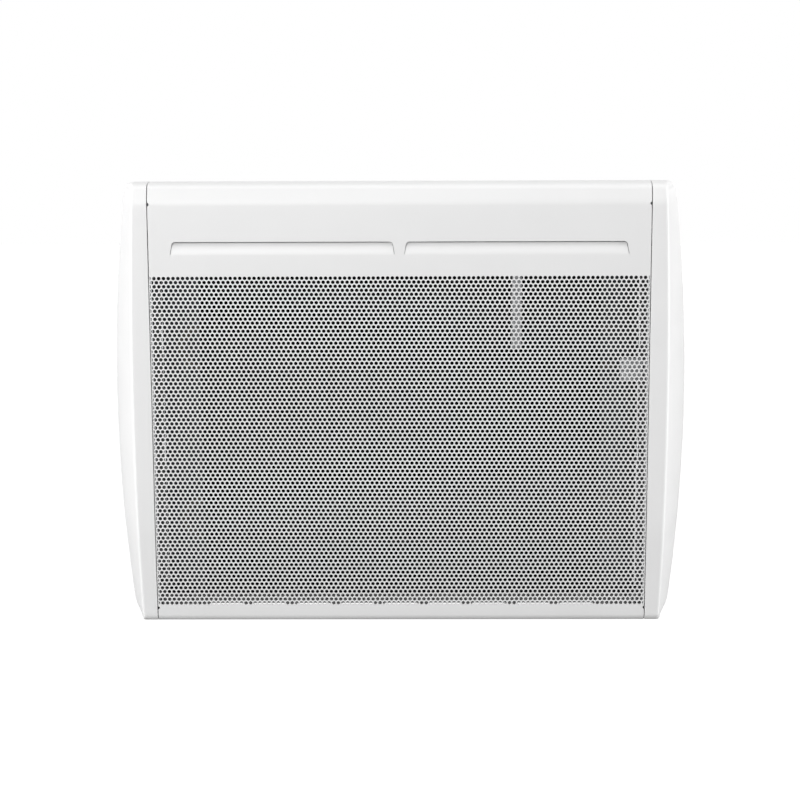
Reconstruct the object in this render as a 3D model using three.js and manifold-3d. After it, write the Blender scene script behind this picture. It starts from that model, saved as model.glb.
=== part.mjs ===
// Wall-hung radiant panel heater, in millimetres.
// X runs to the right along the wall, Z runs up, and the wall is the plane y = 0.
// Depths are measured from the wall into the room, so a depth d lies at y = -d.
// The origin is on the wall, at the middle of the bracket's centre rail.
import * as THREE from "three";
import { ConvexGeometry } from "three/addons/geometries/ConvexGeometry.js";
import { mergeVertices } from "three/addons/utils/BufferGeometryUtils.js";
import Module from "manifold-3d";

const wasm = await Module();
wasm.setup();

// Case
const caseHeight = 451;
const seamHalfWidth = 249.6;
const faceDepth = 116;
const rearDepth = 30;
const steel = 1;
const fit = 0.3;
const overrun = 2;

// Front sheet, as it is bent from its top return down to its bottom return
const crownReturn = 4;
const crownRadius = 90;
const crownRearAngle = 7.5;
const crownFrontAngle = 8;
const rollRadius = 8;
const leanRun = 9.3;
const leanAngle = 16.6;
const shoulderRadius = 60;
const toeRadius = 150;
const toeAngle = 2.6;
const toeRun = 85;
const hemRadius = 9;
const hemRiseAngle = 2;
const hemReturn = 14;
const flangeReach = 11;
const reliefDrop = 20;
const reliefRise = 13.5;
const reliefRadius = 1.6;

// Louvres, pressed inwards below a slit
const louvreDrop = 58;
const louvreHeight = 14;
const louvrePress = 9;
const louvreFlare = 3.3;
const louvreLand = 16.3;
const louvreMargin = 24.2;

// Punched field: staggered openings with the open share of a fine punched sheet
const fieldDrop = 92;
const fieldRise = 19;
const fieldMargin = 3;
const holeSpacing = 30;
const openShare = 0.4;

// Moulded cheeks
const cheekReach = 43.9;
const cheekBowRadius = 1800;
const cheekStrip = 18.4;
const cheekStripBowRadius = 5500;
const cheekEdgeRadius = 5;
const cheekRimDepth = 46;
const cheekTuck = 6;
const cheekCorner = 14;
const cheekWall = 2.5;
const cheekRib = 2;
const cheekRibShare = 0.244;
const cheekRibInset = 14;
const crownCapDrop = 0.25;
const cheekScrewInset = 8;
const cheekScrewEnd = 75.5;
const cheekFlange = 14;
const cheekFlangeEnd = 55.5;
const bowLevelShares = [-0.42, -0.27, -0.12, 0, 0.12, 0.27, 0.4];
const flankBendShare = 0.3;
const rimBendShare = 0.3;
const rimLeastShare = 0.35;

// Back panel
const panelLap = 6;
const panelCorner = 4;
const beadClear = 29;
const beadSlant = 6;
const beadFlat = 8;
const beadAngle = 45;
const ventLength = 36;
const ventWidth = 9;
const ventSpacing = 46;
const ventCount = 9;
const ventDepth = 62;

// Wall bracket
const hookInset = 99.6;
const uprightWidth = 25;
const uprightDepth = 15;
const uprightTopDrop = 30.5;
const uprightFootRise = 21.5;
const bracketSteel = 1.5;
const bracketBend = 2;
const railHeight = 26;
const railDepth = 10;
const railEnd = 60.5;
const keyRadius = 5;
const keySlotRadius = 2.5;
const keySlotRun = 12;
const keyInset = 50;

// Lower hooks and the pins that turn in them
const pivotRise = 35.5;
const pivotDepth = 22;
const pinRadius = 2.5;
const pinHeadRadius = 4;
const pinHead = 1;
const hookThickness = 2.5;
const hookLip = 3;
const hookLipRise = 3.2;
const hookTail = 14;
const lugGap = 1;
const lugThickness = 2;
const lugRadius = 5;

// Upper latch: a stud on the case between the arms of a spring clip
const latchDrop = 50.5;
const clipSteel = 0.8;
const clipLength = 12;
const clipBelly = 3;
const clipNeckDepth = 22.5;
const clipTipDepth = 27;
const clipFlare = 3;
const studHeadRadius = 3;
const studNeckRadius = 2;
const studBaseRadius = 5;
const studBase = 2;
const studHead = 4;
const studTailGap = 2;
const stopDrop = 100.5;
const stopRadius = 6;
const stopEdge = 1;

// Emitter, heating elements and what carries them
const emitterDepthShare = 0.488;
const emitterInset = 43;
const emitterSteel = 1.2;
const emitterMargin = 6.6;
const emitterCorner = 3;
const emitterEdge = 8;
const grooveFillet = 3;
const grooveAngle = 60;
const ribRadius = 5;
const ribAngle = 32;
const tubeRadius = 4;
const hairpinSpacing = 40;
const elementShare = 0.53;
const elementLead = 14;
const terminalRadius = 1.5;
const terminalLength = 9;
const clipOffset = 110;
const strapSteel = 1;
const strapWidth = 10;
const strapFillet = 2;
const strapFoot = 9;
const reflectorDepthShare = 0.233;
const reflectorInset = 2;
const reflectorSteel = 0.8;
const reflectorFlange = 16;
const reflectorFlareAngle = 70;
const pillarInset = 24;
const pillarBase = 3;
const pillarBaseRadius = 7;
const pillarRadius = 5;
const spigotRadius = 3;

// Deflector and stay above the emitter
const deflectorDepthShare = 0.628;
const deflectorLap = 5.5;
const deflectorRise = 52;
const deflectorRadius = 20;
const deflectorLipAngle = 20;
const deflectorGap = 5.7;
const stayX = 118;
const stayWidth = 10;
const stayRise = 31.5;
const staySteel = 1.2;
const stayBend = 2;

// Thermal cut-out and room sensor on the right side plate
const cutoutPlateHeight = 23;
const cutoutPlateWidth = 22;
const cutoutAhead = 18;
const cutoutTab = 12;
const cutoutRadius = 8;
const cutoutLength = 7;
const cutoutCapRadius = 5.5;
const cutoutCap = 3;
const cutoutInset = 12;
const sensorRadius = 3;
const sensorLength = 26;
const sensorDrop = 9;
const sensorDepth = 58;
const sensorBlock = 8;

// Leads
const leadRadius = 1.6;
const leadBend = 4;
const leadSetback = 14;
const leadRoom = 1.5;
const supplyLeadInset = 14;
const returnLeadInset = 9;
const linkInset = 11;

// Control unit, sunk into the top behind the crown
const consoleEnd = 5.6;
const consoleRearInset = 5;
const consoleSetback = 9;
const consoleRim = 2;
const consoleWall = 1.8;
const consoleSink = 13;
const consoleBodyHeight = 40;
const fasciaThickness = 2;
const ledge = 2;
const dialShare = 0.6;
const selectorShare = 0.8;
const dialHeight = 10;
const dialSkirt = 3;
const dialTaper = 1.5;
const dialEdge = 1;
const gripWidth = 4;
const gripHeight = 2.4;
const spindleRadius = 3;
const spindleGrip = 6;
const spindleSeat = 5;
const dialClearance = 0.6;
const regulatorRoom = 0.9;
const regulatorStep = 2;
const regulatorEnd = 5.9;
const regulatorGap = 11;
const regulatorHeight = 18;
const rockerGap = 8;
const rockerEnd = 0.9;
const rockerMargin = 1.9;
const rockerWidth = 10;
const rockerThickness = 6;
const rockerTilt = 9;
const rockerDrop = 1.5;
const rockerCrown = 2.2;
const rockerShaftRadius = 1.5;
const rockerShaftEnd = 1.5;
const rockerRunning = 0.8;
const rockerFrameWall = 2;
const rockerFrameHeight = 12;
const rockerFrameRim = 1.2;
const pilotClear = 2;
const pilotRadius = 2;
const pilotHeight = 2;
const pilotGap = 5;
const boardThickness = 1.6;
const boardMargin = 3;
const relayShare = 0.734;
const relayHeight = 8;
const terminalBlockLength = 40;
const terminalBlockHeight = 16;
const terminalBlockDepth = 14;
const terminalBlockDrop = 6;
const terminalBoreRadius = 2;
const terminalBoreCount = 3;
const glandDrop = 107.5;
const glandRadius = 7;
const glandFlangeRadius = 10;
const glandFlange = 2;
const glandNut = 4;
const glandTail = 6;
const glandBoreRadius = 3.5;

// Screws
const screwRadius = 1.8;
const screwHeadRadius = 3.5;
const screwCrownRadius = 2.8;
const screwHead = 2;
const screwLength = 9;

const tau = 2 * Math.PI;
const halfHeight = caseHeight / 2;
const leftAndRight = [-1, 1];
const radians = (degrees) => THREE.MathUtils.degToRad(degrees);
const place = (x, depth, z) => new THREE.Vector3(x, -depth, z);

// Solids and booleans
function toSolid(geometry) {
  const flat = geometry.index ? geometry.toNonIndexed() : geometry;
  const bare = new THREE.BufferGeometry().setAttribute("position", flat.getAttribute("position"));
  const welded = mergeVertices(bare);
  return new wasm.Manifold(new wasm.Mesh({
    numProp: 3,
    vertProperties: new Float32Array(welded.getAttribute("position").array),
    triVerts: new Uint32Array(welded.index.array),
  }));
}

function toGeometry(solid) {
  const mesh = solid.getMesh();
  const geometry = new THREE.BufferGeometry();
  geometry.setAttribute("position", new THREE.BufferAttribute(mesh.vertProperties, mesh.numProp));
  geometry.setIndex(new THREE.BufferAttribute(mesh.triVerts, 1));
  geometry.computeVertexNormals();
  return geometry;
}

const joined = (...solids) => solids.reduce((whole, solid) => whole.add(solid));
const cutBy = (solid, ...tools) => tools.reduce((rest, tool) => rest.subtract(tool), solid);

// The same piece on the other side of the heater
function mirrored(solid) {
  const geometry = toGeometry(solid).toNonIndexed();
  const position = geometry.getAttribute("position");
  for (let corner = 0; corner < position.count; corner += 3) {
    const swap = [0, 2, 1].map((step) => new THREE.Vector3().fromBufferAttribute(position, corner + step));
    swap.forEach((point, step) => position.setXYZ(corner + step, -point.x, point.y, point.z));
  }
  return toSolid(geometry);
}

// Extrusions along X of an outline of [depth, height], along Z of [x, depth],
// and along the depth of [x, height]
function extruded(outline, length, toShape, basis) {
  const shape = new THREE.Shape(outline.map(([a, b]) => new THREE.Vector2(...toShape(a, b))));
  const geometry = new THREE.ExtrudeGeometry(shape, { depth: length, bevelEnabled: false });
  return geometry.applyMatrix4(basis);
}

function alongX(outline, start, end) {
  const basis = new THREE.Matrix4().makeBasis(
    new THREE.Vector3(0, 1, 0), new THREE.Vector3(0, 0, 1), new THREE.Vector3(1, 0, 0));
  basis.setPosition(start, 0, 0);
  return toSolid(extruded(outline, end - start, (depth, height) => [-depth, height], basis));
}

function alongZ(outline, start, end) {
  const basis = new THREE.Matrix4().setPosition(0, 0, start);
  return toSolid(extruded(outline, end - start, (x, depth) => [x, -depth], basis));
}

function alongDepth(outline, start, end) {
  const basis = new THREE.Matrix4().makeBasis(
    new THREE.Vector3(1, 0, 0), new THREE.Vector3(0, 0, 1), new THREE.Vector3(0, -1, 0));
  basis.setPosition(0, -start, 0);
  return toSolid(extruded(outline, end - start, (x, height) => [x, height], basis));
}

function block(xs, depths, heights) {
  const [width, thick, tall] = [xs, depths, heights].map(([low, high]) => high - low);
  const [x, depth, z] = [xs, depths, heights].map(([low, high]) => (low + high) / 2);
  return toSolid(new THREE.BoxGeometry(width, thick, tall).translate(x, -depth, z));
}

const around = (centre, width) => [centre - width / 2, centre + width / 2];

// A turned piece from [radius, position] pairs along its axis
const axisTurns = {
  x: new THREE.Matrix4().makeRotationZ(-tau / 4),
  depth: new THREE.Matrix4().makeRotationX(tau / 2),
  z: new THREE.Matrix4().makeRotationX(tau / 4),
};

function turned(profile, axis, sides = 12) {
  const points = profile.map(([radius, position]) => new THREE.Vector2(radius, position));
  return new THREE.LatheGeometry(points, sides).applyMatrix4(axisTurns[axis]);
}

function rod(radius, axis, start, end, centre, sides = 16) {
  const profile = [[0, start], [radius, start], [radius, end], [0, end]];
  return toSolid(turned(profile, axis, sides).translate(centre.x, centre.y, centre.z));
}

// A round tube along points, which follows their straight runs and short chords
class Route extends THREE.Curve {
  constructor(points) {
    super();
    this.points = points;
  }

  getUtoTmapping(share) {
    return share;
  }

  getPoint(share, target = new THREE.Vector3()) {
    const last = this.points.length - 1;
    const position = THREE.MathUtils.clamp(share, 0, 1) * last;
    const index = Math.min(Math.floor(position), last - 1);
    return target.copy(this.points[index]).lerp(this.points[index + 1], position - index);
  }
}

function tube(points, radius, sides = 8) {
  const section = new THREE.Shape();
  for (let side = 0; side < sides; side += 1) {
    const angle = tau * side / sides;
    const corner = [radius * Math.cos(angle), radius * Math.sin(angle)];
    if (side === 0) section.moveTo(...corner);
    else section.lineTo(...corner);
  }
  section.closePath();
  return toSolid(new THREE.ExtrudeGeometry(section, {
    steps: points.length - 1, extrudePath: new Route(points), bevelEnabled: false,
  }));
}

// Rounds the corners of a route of straight runs
function roundedRoute(corners, radius, steps = 4) {
  const points = [corners[0]];
  for (let index = 1; index < corners.length - 1; index += 1) {
    const [before, corner, after] = corners.slice(index - 1, index + 2);
    const enter = corner.clone().add(before.clone().sub(corner).setLength(radius));
    const leave = corner.clone().add(after.clone().sub(corner).setLength(radius));
    points.push(...new THREE.QuadraticBezierCurve3(enter, corner, leave).getPoints(steps));
  }
  points.push(corners[corners.length - 1]);
  return points;
}

// Bent sheet: a path of runs and bends, then the strip of metal on its right side
const run = (length) => ({ length });
const bend = (radius, turn, steps = 1) => ({ radius, turn, steps });

function trace(start, heading, moves) {
  let [a, b] = start;
  let angle = radians(heading);
  const points = [[a, b]];
  for (const move of moves) {
    const steps = move.steps ?? 1;
    const turn = radians(move.turn ?? 0) / steps;
    const length = move.length ?? 2 * move.radius * Math.sin(Math.abs(turn) / 2);
    for (let step = 0; step < steps; step += 1) {
      angle += turn / 2;
      a += length * Math.cos(angle);
      b += length * Math.sin(angle);
      angle += turn / 2;
      points.push([a, b]);
    }
  }
  return points;
}

function offsetLine(points, distance) {
  const normals = points.slice(1).map(([a, b], index) => {
    const [a0, b0] = points[index];
    const length = Math.hypot(a - a0, b - b0);
    return [(b - b0) / length, -(a - a0) / length];
  });
  return points.map(([a, b], index) => {
    const before = normals[Math.max(index - 1, 0)];
    const after = normals[Math.min(index, normals.length - 1)];
    const share = distance / (1 + before[0] * after[0] + before[1] * after[1]);
    return [a + share * (before[0] + after[0]), b + share * (before[1] + after[1])];
  });
}

const strip = (points, thickness) => [...points, ...offsetLine(points, thickness).reverse()];
const moved = (points, da, db) => points.map(([a, b]) => [a + da, b + db]);
const highest = (points) => Math.max(...points.map(([, b]) => b));
const lowest = (points) => Math.min(...points.map(([, b]) => b));
const foremost = (points) => Math.max(...points.map(([a]) => a));
const ending = (points) => points[points.length - 1];

// Side profile of the case: the front sheet's outer face from the top return to the bottom return
const topMoves = [
  run(crownReturn),
  bend(crownRadius, -(crownRearAngle + crownFrontAngle), 4),
  bend(rollRadius, -(90 - crownFrontAngle - leanAngle), 4),
  run(leanRun),
  bend(shoulderRadius, -leanAngle, 2),
];
const bottomMoves = [
  bend(toeRadius, -toeAngle),
  run(toeRun),
  bend(hemRadius, -(90 - toeAngle + hemRiseAngle), 4),
  run(hemReturn),
];

function traceSheet() {
  const top = trace([0, 0], crownRearAngle, topMoves);
  const bottom = trace([0, 0], -90, bottomMoves);
  const flat = caseHeight - (highest(top) - ending(top)[1]) + lowest(bottom);
  const whole = trace([0, 0], crownRearAngle, [...topMoves, run(flat), ...bottomMoves]);
  return moved(whole, faceDepth - foremost(whole), halfHeight - highest(whole));
}

const sheetLine = traceSheet();
const crownRear = sheetLine[0];
const hemRear = ending(sheetLine);
const topAt = (depth) => crownRear[1] - (crownRear[0] - depth) * Math.tan(radians(crownRearAngle));
const bottomAt = (depth) => hemRear[1] + (hemRear[0] - depth) * Math.tan(radians(hemRiseAngle));
const caseLine = [[rearDepth, topAt(rearDepth)], ...sheetLine, [rearDepth, bottomAt(rearDepth)]];

// Case profile pulled in all round by a wall
function insetCase(wall) {
  const closed = [ending(caseLine), ...caseLine, caseLine[0]];
  return offsetLine(closed, wall).slice(1, -1);
}

// Least and greatest depth of a closed profile at a height
function reachAt(profile, height) {
  const crossings = profile.flatMap(([a, b], index) => {
    const [a1, b1] = profile[(index + 1) % profile.length];
    if (b === b1 || (height - b) * (height - b1) > 0) return [];
    return [a + (a1 - a) * (height - b) / (b1 - b)];
  });
  return [Math.min(...crossings), Math.max(...crossings)];
}

// Front sheet
const slitHeight = halfHeight - louvreDrop;
const louvreInner = louvreLand / 2;
const louvreOuter = seamHalfWidth - louvreMargin;
const fieldTop = halfHeight - fieldDrop;
const fieldBottom = -halfHeight + fieldRise;
const fieldHeight = fieldTop - fieldBottom;
const emitterMiddle = (fieldTop + fieldBottom) / 2;

function louvreWedge(side, grow, front) {
  const [low, high] = [louvreInner, louvreOuter];
  const points = [];
  for (const [x, outward] of [[low, -1], [high, 1]]) {
    const slitX = side * (x + outward * grow);
    const footX = side * (x + outward * (grow + louvreFlare));
    for (const depth of [faceDepth, front]) {
      points.push(place(slitX, depth, slitHeight));
      points.push(place(footX, depth, slitHeight - louvreHeight - grow));
    }
    points.push(place(slitX, faceDepth - louvrePress - grow, slitHeight));
  }
  return toSolid(new ConvexGeometry(points));
}

function punchedField() {
  const radius = holeSpacing * Math.sqrt(openShare / 3);
  const rowSpacing = holeSpacing * Math.sqrt(3) / 2;
  const rows = Math.floor((fieldHeight - 2 * radius) / rowSpacing) + 1;
  const columns = Math.floor((seamHalfWidth - fieldMargin - radius) * 2 / holeSpacing) + 1;
  const holes = [];
  for (let row = 0; row < rows; row += 1) {
    const height = emitterMiddle + (row - (rows - 1) / 2) * rowSpacing;
    const count = columns - row % 2;
    for (let column = 0; column < count; column += 1) {
      const x = (column - (count - 1) / 2) * holeSpacing;
      const corners = [0, 1, 2, 3, 4, 5].map((side) => {
        const angle = tau * (side / 6 + 1 / 12);
        return [x + radius * Math.cos(angle), height + radius * Math.sin(angle)];
      });
      holes.push(alongDepth(corners, faceDepth - hemRadius, faceDepth + overrun));
    }
  }
  return wasm.Manifold.union(holes);
}

function makeFrontSheet() {
  const [reliefTop, reliefBottom] = [halfHeight - reliefDrop, -halfHeight + reliefRise];
  const skin = alongX(strip(sheetLine, steel), -seamHalfWidth, seamHalfWidth);
  const pieces = [skin];
  const cuts = [punchedField()];
  for (const side of leftAndRight) {
    const edge = [side * seamHalfWidth, side * (seamHalfWidth - steel)].sort((a, b) => a - b);
    const flange = block(edge, [faceDepth - flangeReach, faceDepth], [reliefBottom, reliefTop]);
    pieces.push(flange.intersect(alongX(caseLine, ...edge)));
    pieces.push(louvreWedge(side, steel, faceDepth));
    cuts.push(louvreWedge(side, 0, faceDepth + overrun));
    for (const height of [reliefTop, reliefBottom]) {
      const centre = place(side * seamHalfWidth, 0, height);
      cuts.push(rod(reliefRadius, "depth", faceDepth - flangeReach - overrun, faceDepth, centre, 8));
    }
  }
  return cutBy(joined(...pieces), ...cuts);
}

// Cheeks: a loft of horizontal sections, hollow towards the case
function bezier(from, control, to, steps) {
  const [a, c, b] = [from, control, to].map((point) => new THREE.Vector2(...point));
  return new THREE.QuadraticBezierCurve(a, c, b).getPoints(steps).map((point) => [point.x, point.y]);
}

function cheekSection(profile, height, wall, inner, steps) {
  const [rear, front] = reachAt(profile, height);
  const bow = height ** 2 / (2 * cheekBowRadius);
  const corner = cheekCorner - wall;
  const intoCorner = Math.max(0, Math.abs(height) - (halfHeight - cheekCorner));
  const cornerLoss = corner - Math.sqrt(Math.max(0, corner ** 2 - Math.min(intoCorner, corner) ** 2));
  const outer = seamHalfWidth + cheekReach - bow - wall - cornerLoss;
  const stripBow = height ** 2 / (2 * cheekStripBowRadius);
  const edge = Math.min(seamHalfWidth + cheekStrip - stripBow, outer) - wall / 2;
  const rim = Math.max(cheekRimDepth, rear + rimLeastShare * (front - rear));
  const flankBend = [outer, rim + flankBendShare * (front - rim)];
  const toBend = new THREE.Vector2(flankBend[0] - edge, flankBend[1] - front);
  const radius = Math.min(cheekEdgeRadius, toBend.length() / 2);
  toBend.setLength(radius);
  const flankStart = [edge + toBend.x, front + toBend.y];
  return [
    [inner, front],
    ...bezier([edge - radius, front], [edge, front], flankStart, steps.edge),
    ...bezier(flankStart, flankBend, [outer, rim], steps.flank).slice(1),
    ...bezier([outer, rim], [outer, rear + rimBendShare * (rim - rear)], [outer - cheekTuck, rear], steps.rim)
      .slice(1),
    [inner, rear],
  ];
}

function loft(sections, heights) {
  const count = sections[0].length;
  const rings = sections.map((section, level) =>
    section.map(([x, depth]) => place(x, depth, heights[level])));
  const triangles = [];
  for (let level = 1; level < rings.length; level += 1) {
    for (let index = 0; index < count; index += 1) {
      const next = (index + 1) % count;
      const [a, b] = [rings[level - 1][index], rings[level - 1][next]];
      const [d, c] = [rings[level][index], rings[level][next]];
      triangles.push(a, b, c, a, c, d);
    }
  }
  const caps = [rings[0], rings[rings.length - 1]];
  caps.forEach((ring, top) => {
    const flat = ring.map((point) => new THREE.Vector2(point.x, point.y));
    for (const [a, b, c] of THREE.ShapeUtils.triangulateShape(flat, [])) {
      const corners = top ? [a, b, c] : [a, c, b];
      triangles.push(...corners.map((index) => ring[index]));
    }
  });
  return toSolid(new THREE.BufferGeometry().setFromPoints(triangles));
}

const cheekScrewHeight = halfHeight - cheekScrewEnd;

function makeRightCheek() {
  const seam = seamHalfWidth + fit;
  const inside = insetCase(cheekWall);
  const limit = halfHeight - crownCapDrop;
  const bowLevels = bowLevelShares.map((share) => share * caseHeight);
  const corners = caseLine.map(([, height]) => height).filter((height) => Math.abs(height) < limit);
  const outerLevels = [...new Set([...corners, ...bowLevels, limit, -limit])].sort((a, b) => a - b);
  const innerLimit = limit - cheekWall;
  const innerLevels = [...outerLevels.filter((height) => Math.abs(height) < innerLimit),
    innerLimit, -innerLimit].sort((a, b) => a - b);
  const outer = loft(outerLevels.map((height) =>
    cheekSection(caseLine, height, 0, seam, { edge: 2, flank: 4, rim: 2 })), outerLevels);
  let hollow = loft(innerLevels.map((height) =>
    cheekSection(inside, height, cheekWall, seam - overrun, { edge: 1, flank: 2, rim: 1 })), innerLevels);
  for (const step of [-1, 0, 1]) {
    const ribs = [seam + cheekRibInset, seam + cheekReach];
    const height = step * cheekRibShare * caseHeight;
    hollow = hollow.subtract(block(ribs, [0, faceDepth], around(height, cheekRib)));
  }
  const screwHoles = leftAndRight.map((end) => {
    const centre = place(seam + cheekScrewInset, 0, end * cheekScrewHeight);
    return rod(screwRadius + fit, "depth", rearDepth - overrun, rearDepth + cheekWall + overrun, centre, 10);
  });
  return cutBy(outer, hollow, ...screwHoles);
}

// Steel case behind the front sheet
const sidePlateOuter = seamHalfWidth - steel - fit;
const panelHalfWidth = sidePlateOuter - steel - fit;
const panelInset = steel + fit;
const panelInnerDepth = rearDepth + steel;
const sidePlateInner = sidePlateOuter - steel - fit;

function traceBackPanel() {
  const startDepth = crownRear[0] + panelLap;
  const endDepth = hemRear[0] + panelLap;
  const start = [startDepth, topAt(startDepth) - panelInset / Math.cos(radians(crownRearAngle))];
  const topCorner = bend(panelCorner, 90 - crownRearAngle, 3);
  const bottomCorner = bend(panelCorner, 90 - hemRiseAngle, 3);
  const bead = [bend(beadFlat, beadAngle), run(beadSlant), bend(beadFlat, -beadAngle), run(beadFlat),
    bend(beadFlat, -beadAngle), run(beadSlant), bend(beadFlat, beadAngle)];
  const cornerReach = -ending(trace([0, 0], 180 + crownRearAngle, [topCorner]))[0];
  const topRun = run((startDepth - rearDepth - cornerReach) / Math.cos(radians(crownRearAngle)));
  const beadDrop = -ending(trace([0, 0], -90, bead))[1];
  const between = run(beadSpacing - beadDrop);
  const upper = trace(start, 180 + crownRearAngle, [topRun, topCorner]);
  const lowerReach = ending(trace([0, 0], -90, [bottomCorner]))[0];
  const bottomRun = run((endDepth - rearDepth - lowerReach) / Math.cos(radians(hemRiseAngle)));
  const panelBottom = bottomAt(endDepth) + panelInset / Math.cos(radians(hemRiseAngle));
  const underRun = ending(trace([0, 0], -90, [bottomCorner, bottomRun]))[1];
  const wallDrop = ending(upper)[1] - panelBottom + underRun;
  const wallEnd = run((wallDrop - beadSpacing - beadDrop) / 2);
  return trace(start, 180 + crownRearAngle,
    [topRun, topCorner, wallEnd, ...bead, between, ...bead, wallEnd, bottomCorner, bottomRun]);
}

const hookX = seamHalfWidth - hookInset;
const pivotHeight = pivotRise - halfHeight;
const glandHeight = halfHeight - glandDrop;

function makeBackPanel() {
  const shell = alongX(strip(traceBackPanel(), -steel), -panelHalfWidth, panelHalfWidth);
  const pieces = [shell];
  const cuts = [];
  for (let vent = 0; vent < ventCount; vent += 1) {
    const x = (vent - (ventCount - 1) / 2) * ventSpacing;
    cuts.push(block(around(x, ventLength), around(ventDepth, ventWidth),
      [-halfHeight, -halfHeight + hemReturn]));
  }
  const consoleCut = [consoleRearDepth + consoleRim, consoleFrontDepth - consoleRim];
  cuts.push(block(around(consoleX, consoleLength - 2 * consoleRim), consoleCut,
    [topAt(rearDepth) - consoleSink, halfHeight]));
  cuts.push(rod(glandRadius + fit, "depth", rearDepth - overrun, panelInnerDepth + overrun,
    place(consoleX, 0, glandHeight)));
  const lugStart = hookThickness / 2 + lugGap;
  for (const side of leftAndRight) {
    for (const cheek of leftAndRight) {
      const faces = [lugStart, lugStart + lugThickness].map((gap) => side * hookX + cheek * gap);
      const [near, far] = faces.sort((a, b) => a - b);
      const eye = rod(lugRadius, "x", near, far, place(0, pivotDepth, pivotHeight), 12);
      const arm = block([near, far], [pivotDepth, rearDepth + steel / 2], around(pivotHeight, 2 * lugRadius));
      const pivot = place(0, pivotDepth, pivotHeight);
      pieces.push(eye, arm);
      cuts.push(rod(pinRadius + fit, "x", near - lugGap / 2, far + lugGap / 2, pivot, 10));
    }
  }
  return cutBy(joined(...pieces), ...cuts);
}

function makeRightSidePlate() {
  const plate = [sidePlateOuter - steel, sidePlateOuter];
  const web = alongX(insetCase(steel + fit), ...plate);
  const flangeDepth = rearDepth + cheekWall + fit;
  const flange = block([plate[0], sidePlateOuter + cheekFlange], [flangeDepth, flangeDepth + steel],
    around(0, caseHeight - 2 * cheekFlangeEnd));
  const holes = leftAndRight.map((end) => {
    const centre = place(seamHalfWidth + fit + cheekScrewInset, 0, end * cheekScrewHeight);
    return rod(screwRadius + fit, "depth", flangeDepth - overrun, flangeDepth + steel + overrun, centre, 10);
  });
  return cutBy(joined(web, flange), ...holes);
}

function screw() {
  return toSolid(turned([[0, -screwHead], [screwCrownRadius, -screwHead], [screwHeadRadius, -screwHead / 2],
    [screwHeadRadius, 0], [screwRadius, 0], [screwRadius, screwLength], [0, screwLength]], "depth", 10));
}

// Depths of the inner layers, as shares of the way from the back panel to the front sheet
const layerDepth = (share) => rearDepth + share * (faceDepth - rearDepth);
const emitterDepth = layerDepth(emitterDepthShare);
const reflectorDepth = layerDepth(reflectorDepthShare);
const deflectorDepth = layerDepth(deflectorDepthShare);
const leadDepth = emitterDepth - leadSetback;
const consoleRearDepth = rearDepth + consoleRearInset;
const consoleFrontDepth = deflectorDepth - consoleSetback;

// Emitter: a ribbed plate with a groove for each run of the heating elements
const grooveRadius = tubeRadius + fit + emitterSteel;
const groove = [
  bend(grooveFillet, grooveAngle),
  bend(grooveRadius, -2 * grooveAngle, 5),
  bend(grooveFillet, grooveAngle),
];
const rib = [bend(ribRadius, ribAngle), bend(ribRadius, -2 * ribAngle, 2), bend(ribRadius, ribAngle)];
const dropOf = (moves) => -ending(trace([0, 0], -90, moves))[1];
const grooveDrop = dropOf(groove);
const grooveRise = foremost(trace([0, 0], -90, groove));
const tubeDepth = emitterDepth + grooveRise - grooveRadius;
const emitterBack = emitterDepth - emitterSteel;
const emitterHalfWidth = sidePlateInner - emitterInset;
const elementSpacing = elementShare * fieldHeight;
const outerRun = (elementSpacing + hairpinSpacing) / 2;
const innerRun = (elementSpacing - hairpinSpacing) / 2;
const ribDrop = dropOf(rib);
const emitterEnd = fieldHeight / 2 - emitterMargin - emitterCorner - outerRun - grooveDrop / 2;
const emitterEdgeRun = (emitterEnd - ribDrop) / 2;
const pillarOffset = outerRun + (grooveDrop + emitterEdgeRun) / 2;
const pillarX = emitterHalfWidth - pillarInset;
const beadSpacing = 2 * (emitterMiddle + pillarOffset - beadClear);

function traceEmitter() {
  const pair = [...groove, run(hairpinSpacing - grooveDrop), ...groove];
  const between = (elementSpacing - hairpinSpacing - grooveDrop - 2 * ribDrop) / 3;
  const edge = emitterEdgeRun;
  const middle = [...rib, run(between), ...rib];
  const moves = [run(emitterEdge), bend(emitterCorner, -90, 2), run(edge), ...rib, run(edge), ...pair,
    run(between), ...middle, run(between), ...pair, run(edge), ...rib, run(edge),
    bend(emitterCorner, -90, 2), run(emitterEdge)];
  const line = trace([0, 0], 0, moves);
  const lift = emitterMiddle - (highest(line) + lowest(line)) / 2;
  return moved(line, emitterDepth - emitterEdge - emitterCorner, lift);
}

function makeEmitter() {
  return alongX(strip(traceEmitter(), emitterSteel), -emitterHalfWidth, emitterHalfWidth);
}

function makeElement() {
  const right = emitterHalfWidth + elementLead;
  const left = -emitterHalfWidth;
  const radius = hairpinSpacing / 2;
  const points = [place(right, 0, radius), place(left, 0, radius)];
  const bends = 6;
  for (let step = 1; step < bends; step += 1) {
    const angle = tau / 2 * step / bends;
    points.push(place(left - radius * Math.sin(angle), 0, radius * Math.cos(angle)));
  }
  points.push(place(left, 0, -radius), place(right, 0, -radius));
  const pins = leftAndRight.map((end) =>
    rod(terminalRadius, "x", right - overrun, right + terminalLength, place(0, 0, end * radius), 6));
  return joined(tube(points, tubeRadius), ...pins);
}

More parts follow.
